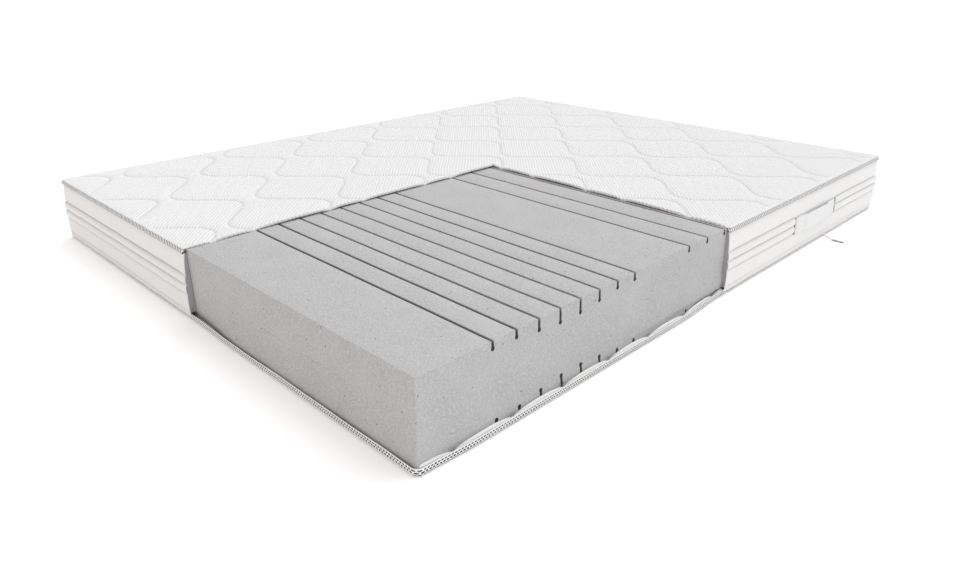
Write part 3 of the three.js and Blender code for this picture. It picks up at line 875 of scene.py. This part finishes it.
def belly(height):
    """The border's smooth bulge: distance outwards from the outline at a height."""
    heights = np.array([9, 15, 22, 35, 55, 73, 89, 107, 128, 150, 160, 166]) * MM
    bulges = np.array([0.9, 1.9, 3.0, 4.3, 4.1, 3.2, 2.2, 1.2, -0.4, -2.3, -3.9, -6.0]) * MM
    fine = np.linspace(heights[0], heights[-1], 400)
    values = np.interp(fine, heights, bulges)
    kernel = np.hanning(41)
    padded = np.concatenate([np.full(20, values[0]), values, np.full(20, values[-1])])
    smooth = np.convolve(padded, kernel / kernel.sum(), mode="valid")
    smooth[-60:] = np.minimum(smooth[-60:], values[-60:] + 0.6 * MM)
    return np.interp(height, fine, smooth)


def handle_zone(x, y):
    """1 under a carry handle's strap, 0 away from it."""
    zone = np.zeros(np.shape(y))
    for handle in HANDLES.values():
        near = bump_between(y, handle["low"] - 14 * MM, handle["low"]) * (
            1 - bump_between(y, handle["high"], handle["high"] + 14 * MM)
        )
        zone = np.maximum(zone, near * (np.sign(x) == handle["side"]) * (np.abs(x) > HALF_WIDTH - 1 * MM))
    return zone


def border_offset(route, heights):
    """The knit's outer face: bulge, three sewn grooves, two ribs, and small puckers along the seams."""
    along = route.along[:, None]
    z = heights[None, :]
    flat = handle_zone(route.points[:, 0], route.points[:, 1])[:, None]
    offset = np.broadcast_to(belly(z), (len(route.points), z.shape[1])).copy()
    puff = np.zeros(z.shape)
    for high, low in zip(GROOVES[:-1], GROOVES[1:]):
        inside = np.clip((z - low) / (high - low), 0, 1)
        puff = puff + np.sqrt(np.maximum(np.sin(math.pi * inside), 0)) * (inside > 0) * (inside < 1)
    from_cut = np.minimum(along, along[-1] - along)
    whole = 0.45 + 0.55 * bump_between(from_cut, 0, 45 * MM)
    offset += 3.4 * MM * puff * (1 - 0.85 * flat) * whole
    for k, groove in enumerate(GROOVES):
        near = np.exp(-np.abs(z - groove) / (2.6 * MM))
        wave = 1 + 0.25 * ripple(along, 10 + k, 0.021, 0.034, 0.09)
        offset -= 3.2 * MM * near * wave * (1 - 0.7 * flat) * whole
        pucker = np.exp(-np.abs(z - groove) / (9 * MM))
        offset += 0.22 * MM * pucker * ripple(along + 0.35 * z, 20 + k, 0.013, 0.019, 0.031)
    near = np.exp(-np.abs(z - BORDER_BOTTOM) / (3.0 * MM))
    offset -= 1.1 * MM * near
    offset += 0.45 * MM * ripple(along + 0.2 * z, 31, 0.42, 0.23, 0.61)
    top = bump_between(z, 150 * MM, 166 * MM)
    offset += 0.25 * MM * top * ripple(along, 33, 0.05, 0.08)
    return offset


def border_heights():
    rows = set(np.round(np.linspace(BORDER_BOTTOM, BORDER_TOP, 40), 5))
    for groove in GROOVES:
        rows -= {r for r in rows if abs(r - groove) < 4.2 * MM}
        rows |= {groove + k * MM for k in (-3.6, -2.0, -0.9, 0, 0.9, 2.0, 3.6)}
    for handle in HANDLES.values():
        rows |= {handle["bottom"] - 0.4 * MM, handle["top"] + 0.4 * MM}
    rows |= {BORDER_BOTTOM + k * MM for k in (1.0, 2.2)}
    return np.array(sorted(rows))


def slits(handle):
    """Where the two slits beside a handle start and end, as values of y."""
    return (handle["low"] - SLIT, handle["low"]), (handle["high"], handle["high"] + SLIT)


def border_route(step):
    stops = {y for handle in HANDLES.values() for slit in slits(handle) for y in slit}
    return Route(False, step, stops=sorted(stops))


def border_knit():
    """The border's face cloth, with a slit beside each end of every handle."""
    route = border_route(5.5 * MM)
    heights = border_heights()
    rows = len(heights)
    outer = border_offset(route, heights)
    thickness = 1.2 * MM
    rings = route.strip(outer, outer - thickness, heights)
    count, sides = rings.shape[:2]
    faces = grid_faces(count, sides, wrap_columns=True)
    i, j = faces[:, 0] // sides, faces[:, 0] % sides
    column_y = route.points[:, 1]
    middle_y = (column_y[i] + column_y[(i + 1) % count]) / 2
    side = np.sign(route.points[i, 0]) * (np.abs(route.points[i, 0]) > HALF_WIDTH - TINY)
    row = np.where(j < rows, j, 2 * rows - 2 - j)
    flat_face = (j != rows - 1) & (j != 2 * rows - 1)
    middle_z = (heights[np.clip(row, 0, rows - 1)] + heights[np.clip(row + 1, 0, rows - 1)]) / 2
    hole = np.zeros(len(faces), dtype=bool)
    for handle in HANDLES.values():
        for low, high in slits(handle):
            hole |= (
                flat_face & (side == handle["side"]) & (middle_y > low) & (middle_y < high)
                & (middle_z > handle["bottom"] - 0.4 * MM) & (middle_z < handle["top"] + 0.4 * MM)
            )
    kept = faces[~hole]
    caps = end_caps(count, sides)
    index = np.arange(count * sides)
    twins = index // sides * sides + (sides - 1 - index % sides)
    edges = open_edges([kept, *caps])
    outside = (edges % sides < rows).all(axis=1)
    walls = close_to_twins(edges[outside], twins)
    points, made, new = compact(rings.reshape(-1, 3), [kept, *caps, walls])
    piece = make_piece("border_knit", points, made, MATERIALS["border"], smooth_angle=60)
    # Painted shade along each sewn groove and the bottom seam, read by the material.
    groove = sum(np.exp(-np.abs(heights - g) / (2.0 * MM)) for g in (*GROOVES, BORDER_BOTTOM))
    groove = np.clip(np.concatenate([groove, np.zeros(rows)]), 0, 1)
    store(piece, "groove", np.broadcast_to(groove[None, :], (count, sides)).ravel()[new >= 0])
    attach(piece, "border_knit", "upper_cover", *(f"border_{name}_knit" for name in SIDE_NAMES))


def border_pad():
    """The grey padding behind the border knit, whose cut ends show, and the thin lining inside it."""
    route = border_route(12 * MM)
    heights = np.array([20.5, 24, 30, 36, 45, 55, 63, 67, 71, 79, 87, 90.5, 94, 102, 110, 114, 118, 128,
                        140, 150, 158, 163, 165.2]) * MM
    outer = border_offset(route, heights) - 1.35 * MM
    outer = outer - 2.2 * MM * (1 - bump_between(heights, 20 * MM, 27 * MM))[None, :]
    y, side = route.points[:, 1], np.sign(route.points[:, 0])
    for handle in HANDLES.values():
        behind = (heights > handle["bottom"] - 3 * MM) & (heights < handle["top"] + 3 * MM)
        for low, high in slits(handle):
            slit = (y > low - 0.1 * MM) & (y < high + 0.1 * MM) & (side == handle["side"])
            outer = outer - 7.5 * MM * slit[:, None] * behind[None, :]
    inner = np.full(outer.shape, foam_high.x - HALF_WIDTH + 0.15 * MM)
    inner = np.minimum(inner, outer - 0.8 * MM)
    rings = route.strip(outer, inner, heights)
    piece = ring_body("border_wadding", rings, False, MATERIALS["pad"], smooth_angle=60)
    attach(piece, "wadding", "upper_cover", *(f"border_{name}_wadding" for name in SIDE_NAMES))

    heights = np.linspace(26 * MM, 164 * MM, 12)
    wavy = 0.12 * MM * ripple(route.along, 51, 0.3, 0.17)[:, None]
    outer = np.full((len(route.points), len(heights)), -10.9 * MM) + wavy
    inner = np.full(outer.shape, -11.3 * MM) + wavy
    rings = route.strip(outer, inner, heights)
    lining = ring_body("border_lining", rings, False, MATERIALS["lining"], smooth_angle=60)
    attach(lining, "lining", "upper_cover", *(f"border_{name}_lining" for name in SIDE_NAMES))


def slit_shade_sheets():
    """A near-black sheet folded into the slit beside each end of a handle: painted shade in the slit's
    hollow.
    """
    for name, handle in HANDLES.items():
        heights = np.linspace(handle["bottom"], handle["top"], 8)
        reach = HALF_WIDTH + belly(heights)
        for end, (low, high) in zip("ab", slits(handle)):
            near, far = low + 0.3 * MM, high - 0.3 * MM
            corners = [(-0.2, far), (-0.2, near), (-5.4, near), (-5.4, far)]
            rings = np.stack([
                np.stack([handle["side"] * (reach + deep * MM), np.full(8, y), heights], axis=1)
                for deep, y in corners[:: handle["side"]]
            ], axis=1)
            piece = ring_body(f"{name}_slit_shade_sheet_{end}", rings, False, MATERIALS["shade_black_tape"], smooth_angle=60)
            attach(piece, "lining", "upper_cover")


# ---------------------------------------------------------------- zip
def zip_flap():
    route = Route(False, 6 * MM)
    share = np.linspace(0, 1, 9)
    along = route.along[:, None]
    lift = 0.5 * MM * ripple(along, 61, 0.13, 0.21, 0.05)
    heights = FLAP_LOW + lift * (1 - share[None, :]) + (FLAP_HIGH - FLAP_LOW) * share[None, :]
    middle = belly(heights) + 1.1 * MM * np.maximum(np.sin(math.pi * share), 0)[None, :] ** 0.7
    middle = middle + 0.25 * MM * ripple(along, 62, 0.07, 0.11, 0.23)
    tuck = np.array([0.9] + [0] * 7 + [0.9]) * MM
    outer = middle - tuck[None, :] * 0.8
    inner = middle - 1.5 * MM + tuck[None, :] * 0.3
    rings = route.strip(outer, inner, heights)
    piece = ring_body("zip_flap", rings, False, MATERIALS["flap"], smooth_angle=70)
    attach(piece, "border_knit", "upper_cover", "zip_flap")


def zip_tape(name, loop, low, high, body, color):
    route = Route(loop, 14 * MM, radius=BOTTOM_RADIUS if loop else CORNER_RADIUS)
    heights = np.linspace(low, high, 6)
    wave = 0.1 * MM * ripple(route.along, 71, route.length / 17, route.length / 31)[:, None]
    if loop:
        wave = wave + flare(route.points)[:, None]
    outer = np.full((len(route.points), 6), -2.9 * MM) + wave
    rings = route.strip(outer, outer - 1.1 * MM, heights)
    piece = ring_body(name, rings, loop, MATERIALS[color], smooth_angle=60)
    attach(piece, "zip_tape", body, name)


def zip_coil(name, loop, body):
    """A row of nylon teeth: a thin core with a slanting bar at each turn of the coil."""
    low, high = (corner.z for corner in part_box(name))
    route = Route(loop, 0.85 * MM, arc_steps=24, radius=BOTTOM_RADIUS if loop else CORNER_RADIUS)
    turn = TAU * np.arange(6) / 6
    phase = TAU * np.arange(len(route.points)) / 3
    size = 1 + 0.24 * np.cos(phase)[:, None]
    if loop:
        middle, inwards, wide = LOWER_COIL_Z, 3.1 * MM - flare(route.points)[:, None], 1.5 * MM
    else:
        middle, inwards, wide = (low + high) / 2, 3.4 * MM, 1.15 * MM
    offset = wide * np.cos(turn)[None, :] * size - inwards
    height = middle + (high - low) / 2 * np.sin(turn)[None, :] * size / 1.24
    piece = ring_body(name, route.place(offset, height), loop, MATERIALS["coil"], smooth_angle=180)
    attach(piece, "zip_chain", body, name)


def zip_pull():
    """The ribbon that drops from the slider behind the flap and runs out over the floor to the tab."""
    low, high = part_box("zip_pull_ribbon")
    slider_low, slider_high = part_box("zip_slider")
    middle_y = (slider_low.y + slider_high.y) / 2
    width = slider_high.y - slider_low.y - 1 * MM
    thick = 0.9 * MM
    bend = 4.5 * MM
    x0 = low.x + thick / 2
    floor = low.z + thick / 2
    down = [(x0, z) for z in np.linspace(high.z, floor + bend, 5)]
    curve = [(x0 + bend - bend * math.cos(a), floor + bend - bend * math.sin(a))
             for a in np.linspace(0, math.pi / 2, 7)[1:]]
    run_x = np.linspace(x0 + bend, high.x - 0.2 * MM, 14)[1:]
    run = [(x, floor + 0.5 * MM * math.sin(math.pi * k / 13) ** 2) for k, x in enumerate(run_x)]
    line = np.array(down + curve + run)
    tangent = np.gradient(line, axis=0)
    tangent /= np.linalg.norm(tangent, axis=1)[:, None]
    normal = np.stack([-tangent[:, 1], tangent[:, 0]], axis=1)
    slope = -0.8 * np.maximum(line[:, 0] - (x0 + bend), 0)
    across = np.linspace(-0.5, 0.5, 7)
    upper = [(a * width, thick / 2 * (1 - 0.5 * (abs(a) > 0.49))) for a in across]
    section = upper + [(a, -t) for a, t in reversed(upper)]
    rings = np.array([
        [(p[0] + n[0] * t, middle_y + s + a, p[1] + n[1] * t) for a, t in section]
        for p, n, s in zip(line, normal, slope)
    ])
    ribbon = ring_body("zip_pull_ribbon", rings, False, MATERIALS["strap"], smooth_angle=60)
    attach(ribbon, "strap", "zip_slider", "zip_pull_ribbon")


# ---------------------------------------------------------------- bottom cover
def mesh_band():
    """Openwork tape: three rows of staggered lozenge holes, and a plain bound edge above them."""
    height = MESH_HIGH - MESH_LOW
    route = Route(True, 1.0 * MM, arc_steps=14, radius=BOTTOM_RADIUS)
    columns = 2 * round(route.length / MESH_PITCH)
    half_pitch = route.length / columns
    row = (height - MESH_BOUND) / MESH_ROWS
    lattice = {}
    places = []

    def point(u, z):
        key = (round(u / half_pitch * 8) % (columns * 8), round(z / row * 64))
        if key not in lattice:
            lattice[key] = len(places)
            places.append((u, z))
        return lattice[key]

    ring = [(0, 0), (1, 0), (2, 0), (2, 0.5), (2, 1), (1, 1), (0, 1), (0, 0.5)]
    hole = [(0.36, 0.17), (1, 0.06), (1.64, 0.17), (1.80, 0.5), (1.64, 0.83), (1, 0.94), (0.36, 0.83),
            (0.20, 0.5)]
    quads = []
    for level in range(MESH_ROWS):
        for c in range(columns // 2):
            u = (2 * c + level % 2) * half_pitch
            z = level * row
            outside = [point(u + a * half_pitch, z + b * row) for a, b in ring]
            inside = [point(u + a * half_pitch, z + b * row) for a, b in hole]
            for k in range(8):
                after = (k + 1) % 8
                quads.append((outside[k], outside[after], inside[after], inside[k]))
    top_z = MESH_ROWS * row
    for c in range(columns):
        a, b = point(c * half_pitch, top_z), point((c + 1) * half_pitch, top_z)
        d, e = (point(k * half_pitch, top_z + MESH_BOUND) for k in (c, c + 1))
        quads.append((a, b, e, d))
    u, z = np.array(places).T
    quads = np.array(quads)
    u = u % route.length
    along = np.append(route.along, route.length)

    def around(values):
        """Two columns of the route's values at every u."""
        return np.stack([np.interp(u, along, np.append(v, v[0])) for v in values.T], axis=1)

    spot, normal = around(route.points), around(route.normals)
    normal /= np.linalg.norm(normal, axis=1)[:, None]
    sway = (0.9 * MM * ripple(u, 81, route.length / 9, route.length / 23, route.length / 41)
            * (z / top_z) ** 1.5)
    bulge = 0.8 * MM * np.sin(math.pi * np.clip(z / height, 0, 1))
    bulge = bulge - 4.0 * MM * np.clip(1 - z / (4.6 * MM), 0, 1) ** 1.6
    layers = []
    spread = flare(spot)
    binding = 0.6 * MM * bump_between(z, top_z - 0.5 * MM, top_z)
    for depth in (-0.1 * MM, -1.1 * MM - binding):
        flat = spot + normal * (depth + sway + bulge + spread)[:, None]
        layers.append(np.concatenate([flat, MESH_LOW + z[:, None]], axis=1))
    piece = closed_shell("bottom_mesh_band", *layers, quads, MATERIALS["mesh"], smooth_angle=40)
    attach(piece, "mesh", "bottom_cover", "bottom_mesh_band")


def plan_grid(half_x, half_y, columns, rows, radius):
    """A whole rectangle's points, its plan with rounded corners, and its quads."""
    xs, ys = np.linspace(-half_x, half_x, columns), np.linspace(-half_y, half_y, rows)
    x, y = (values.ravel() for values in np.meshgrid(xs, ys, indexing="ij"))
    return x, y, rounded(x, y, half_x, half_y, radius), grid_faces(columns, rows)


def bottom_panel():
    """The quilted underside, its wadding and backing."""
    half_x, half_y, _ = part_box("bottom_panel_knit")[1]
    x, y, plan, quads = plan_grid(half_x, half_y, 281, 351, CORNER_RADIUS - 3 * MM)
    depth = quilt_depth(x, y)
    roll = 0.6 * MM * np.exp(-edge_distance(x, y, half_x, half_y) / (7 * MM))
    ribs = 0.16 * MM * (1 - rib_wave(x, y))
    lower = np.minimum(BOTTOM_STITCH_DEPTH * depth + roll + ribs, 2.2 * MM)
    layers = [np.stack([*plan, z], axis=1) for z in (np.full(x.size, 2.7 * MM), lower)]
    knit = closed_shell("bottom_panel_knit", *layers, quads, MATERIALS["knit"], smooth_angle=70)
    # Painted shade in the underside's quilted valleys.
    store(knit, "valley_shade", np.concatenate([np.zeros(x.size), depth]))
    attach(knit, "knit", "bottom_cover", "bottom_panel_knit")

    half_x, half_y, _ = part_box("bottom_panel_wadding")[1]
    x, y, plan, quads = plan_grid(half_x, half_y, 61, 76, CORNER_RADIUS - 9 * MM)
    wobble = 0.015 * MM * np.sin(TAU * x / 0.4) * np.sin(TAU * y / 0.5)
    for name, slot, low, high in (
        ("bottom_panel_wadding", "wadding", 2.75 * MM, 3.4 * MM),
        ("bottom_panel_backing", "lining", 3.45 * MM, 4.05 * MM),
    ):
        layers = [np.stack([*plan, z + wobble], axis=1) for z in (high, low)]
        piece = closed_shell(name, *layers, quads, MATERIALS[slot])
        attach(piece, slot, "bottom_cover", name)


def rim_arch(route):
    """The turned-up edge shows as a row of low arches above the mesh on the long open side."""
    y = route.points[:, 1]
    pitch = 146.6 * MM
    share = ((y + 40 * MM) / pitch) % 1.0
    arch = np.maximum(1 - np.abs(2 * share - 1) ** 2.4, 0) ** 0.55
    open_side = (route.points[:, 0] > HALF_WIDTH - 6 * MM) & (y < CUT_Y + TINY)
    return np.where(open_side, arch, 0)


def bottom_rim():
    """The bottom panel's quilted edge, turned up between the foam and the zip."""
    route = Route(True, 4 * MM, arc_steps=6, radius=12.5 * MM)
    arch = rim_arch(route)[:, None]
    out = flare(route.points)[:, None]
    section = np.array([       # mm inwards from the outline, height, and rise under an arch
        (12.8, 4.3, 0), (5.0, 4.3, 0), (4.4, 4.7, 5.0), (4.2, 5.0, 8.8),
        (4.8, 5.1, 11.4), (6.6, 5.2, 13.2), (9.0, 5.1, 13.4), (12.8, 5.0, 9.0),
    ]) * MM
    inwards, low, rise = section.T
    rings = route.place(out - inwards, low + rise * arch)
    piece = ring_body("bottom_panel_rim", rings, True, MATERIALS["rim"], smooth_angle=80)
    attach(piece, "wadding", "bottom_cover")


def bottom_stitches():
    def inside(x, y):
        return edge_distance(x, y, HALF_WIDTH - 12 * MM, HALF_LENGTH - 12 * MM) > 0

    def height(x, y):
        return BOTTOM_STITCH_DEPTH * quilt_depth(x, y) + 0.2 * MM

    thread_piece("bottom_quilting_thread", height, "bottom_cover", inside)


# ---------------------------------------------------------------- carry handles
def handle_half(name, end, toward):
    """Half of a strap, from the slit that it comes out of to the middle of the grip."""
    handle = HANDLES[name]
    side = handle["side"]
    patch_low, patch_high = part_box(f"{name}_sewn_end_a")
    middle = (handle["low"] + handle["high"]) / 2
    reach = middle - handle["low"]
    seam_at = reach - (patch_high.y - patch_low.y)
    away = np.unique(np.concatenate([
        np.linspace(0, seam_at, 34), seam_at + np.linspace(-4, 4, 9) * MM,
        np.linspace(seam_at, reach + 1.5 * MM, 22),
    ]))[::-1]
    across = np.linspace(handle["bottom"], handle["top"], 17)
    sewn = bump_between(away, seam_at - 20 * MM, seam_at + 2 * MM)
    stand = 4.2 * MM * (1 - sewn)
    sink = 3.4 * MM * bump_between(away, reach - 3.5 * MM, reach + 1.2 * MM)
    seam = 0.8 * MM * np.exp(-np.abs(away - seam_at) / (1.3 * MM))
    seam += 0.5 * MM * np.exp(-np.abs(away - (reach - 8 * MM)) / (1.3 * MM)) * (away < reach - 3 * MM)
    crease = 0.4 * MM * np.sin(TAU * (away[:, None] / (11 * MM) + across[None, :] / (26 * MM)))
    crease = crease * np.exp(-np.abs(away[:, None] - (reach - 18 * MM)) / (14 * MM))
    cup = 0.9 * MM * ((across - across.mean()) / (across[-1] - across[0]) * 2) ** 4
    surface = belly(across)[None, :] + 1.5 * MM + (stand - sink - seam)[:, None] + crease
    surface = surface - cup[None, :] * (0.4 + 0.6 * sewn)[:, None]
    thickness = 1.8 * MM
    inner = HALF_WIDTH + surface
    outer = inner + thickness
    edge = np.array([0.45 * MM] + [0] * 15 + [0.45 * MM])
    sag = -0.8 * MM * (1 - sewn)[:, None]
    y = np.broadcast_to((middle + toward * away)[:, None], outer.shape)
    z = across[None, :] + sag
    faces = [np.stack([side * face, y, z], axis=2) for face in (outer - edge, inner + edge)]
    rings = np.concatenate([faces[0], faces[1][:, ::-1]], axis=1)
    if side * toward > 0:
        rings = rings[::-1]
    piece = ring_body(f"{name}_half_{end}", rings, False, MATERIALS["strap"], smooth_angle=60)
    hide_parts(f"{name}_sewn_end_{end}", f"{name}_grip")
    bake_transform(piece)


def handles():
    for name in HANDLES:
        ends = sorted("ab", key=lambda end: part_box(f"{name}_sewn_end_{end}")[0].y)
        for end, toward in zip(ends, (-1, 1)):
            handle_half(name, end, toward)


# ---------------------------------------------------------------- camera, floor and light
def camera():
    data = bpy.data.cameras.new("camera")
    data.sensor_width = 36
    data.lens = CAMERA_LENS
    data.clip_end = 200
    made = bpy.data.objects.new("camera", data)
    made.location = CAMERA_PLACE
    made.rotation_euler = (math.radians(CAMERA_TILT), 0, math.radians(CAMERA_TURN))
    bpy.context.scene.collection.objects.link(made)
    bpy.context.scene.camera = made


def sun():
    """A very soft, very distant light, high on the head side."""
    data = bpy.data.lights.new("key", "SUN")
    data.energy = SUN_STRENGTH
    data.angle = math.radians(SUN_SOFTNESS)
    made = bpy.data.objects.new("key", data)
    made.rotation_euler = Vector(SUN_TOWARD).to_track_quat("Z", "Y").to_euler()
    bpy.context.scene.collection.objects.link(made)


def sky():
    """Soft studio light all round: white at the horizon, a little stronger from behind, warmer in front."""
    world = bpy.data.worlds.new("studio")
    world.use_nodes = True
    tree = world.node_tree
    background = tree.nodes["Background"]
    direction = add_node(tree, "ShaderNodeTexCoord", {}).outputs["Generated"]
    _, y, z = add_node(tree, "ShaderNodeSeparateXYZ", {0: direction}).outputs
    strength = SKY_LEVEL
    for socket, weight in ((y, SKY_BEHIND), (z, SKY_OVERHEAD)):
        inputs = {0: socket, 1: weight, 2: strength}
        strength = add_node(tree, "ShaderNodeMath", inputs, operation="MULTIPLY_ADD").outputs[0]
    inputs = {"Value": z, "From Min": 0.03, "From Max": 0.22}
    above = add_node(tree, "ShaderNodeMapRange", inputs, interpolation_type="SMOOTHSTEP")
    inputs = {"Factor": above.outputs["Result"], "A": HORIZON_LEVEL, "B": strength}
    level = add_node(tree, "ShaderNodeMix", inputs, data_type="FLOAT")
    feed(tree, background.inputs["Strength"], level.outputs["Result"])
    inputs = {"Value": y, "From Min": 0.0, "From Max": -0.8}
    front = add_node(tree, "ShaderNodeMapRange", inputs)
    inputs = {"Factor": front.outputs["Result"], "A": (*SKY_COOL, 1), "B": (*SKY_WARM, 1)}
    color = add_node(tree, "ShaderNodeMix", inputs, data_type="RGBA")
    feed(tree, background.inputs["Color"], color.outputs["Result"])
    bpy.context.scene.world = world


def studio():
    scene = bpy.context.scene
    scene.view_settings.view_transform = "Standard"
    scene.view_settings.look = "None"
    sky()
    sun()
    corners = [(x * FLOOR_REACH, y * FLOOR_REACH, FLOOR_Z) for x, y in ((-1, -1), (1, -1), (1, 1), (-1, 1))]
    finish = Finish("floor", (0.95, 0.95, 0.95), 0.9, specular=0.0)
    finish.tint(finish.noise(0.6, detail=2), 0.1, (0.93, 0.93, 0.93))
    # Painted light: the floor glows, though no lamp is under it.
    finish.shader.inputs["Emission Color"].default_value = (1, 1, 1, 1)
    finish.shader.inputs["Emission Strength"].default_value = FLOOR_GLOW
    make_piece("floor", corners, [np.array([[0, 1, 2, 3]])], finish.material)


# ---------------------------------------------------------------- everything
camera()
studio()
foam_slab("foam_core_upper", "foam_slab_upper", foam_high.z, 1)
foam_slab("foam_core_lower", "foam_slab_lower", FOAM_BOTTOM, -1)
top_panel_knit()
panel_layer("top_panel_wadding", "wadding", 6.7 * MM, 8.0 * MM, 15 * MM)
panel_layer("top_panel_backing", "lining", 8.1 * MM, 8.6 * MM, 16 * MM)
top_stitches()
piping()
border_knit()
border_pad()
zip_flap()
# The lower tape is near black: painted shade seen through the mesh holes.
zip_tape("zip_tape_lower", True, 0.3 * MM, 13 * MM, "bottom_cover", "shade_black_tape")
zip_tape("zip_tape_upper", False, 23.4 * MM, 35 * MM, "upper_cover", "flap")
zip_coil("zip_chain_lower", True, "bottom_cover")
zip_coil("zip_chain_upper", False, "upper_cover")
zip_pull()
mesh_band()
bottom_panel()
bottom_rim()
bottom_stitches()
slit_shade_sheets()
handles()
for node in ("zip_slider", "zip_pull_tab", "zip_end_stop"):
    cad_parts[node].data.materials.clear()
    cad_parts[node].data.materials.append(MATERIALS["metal"])
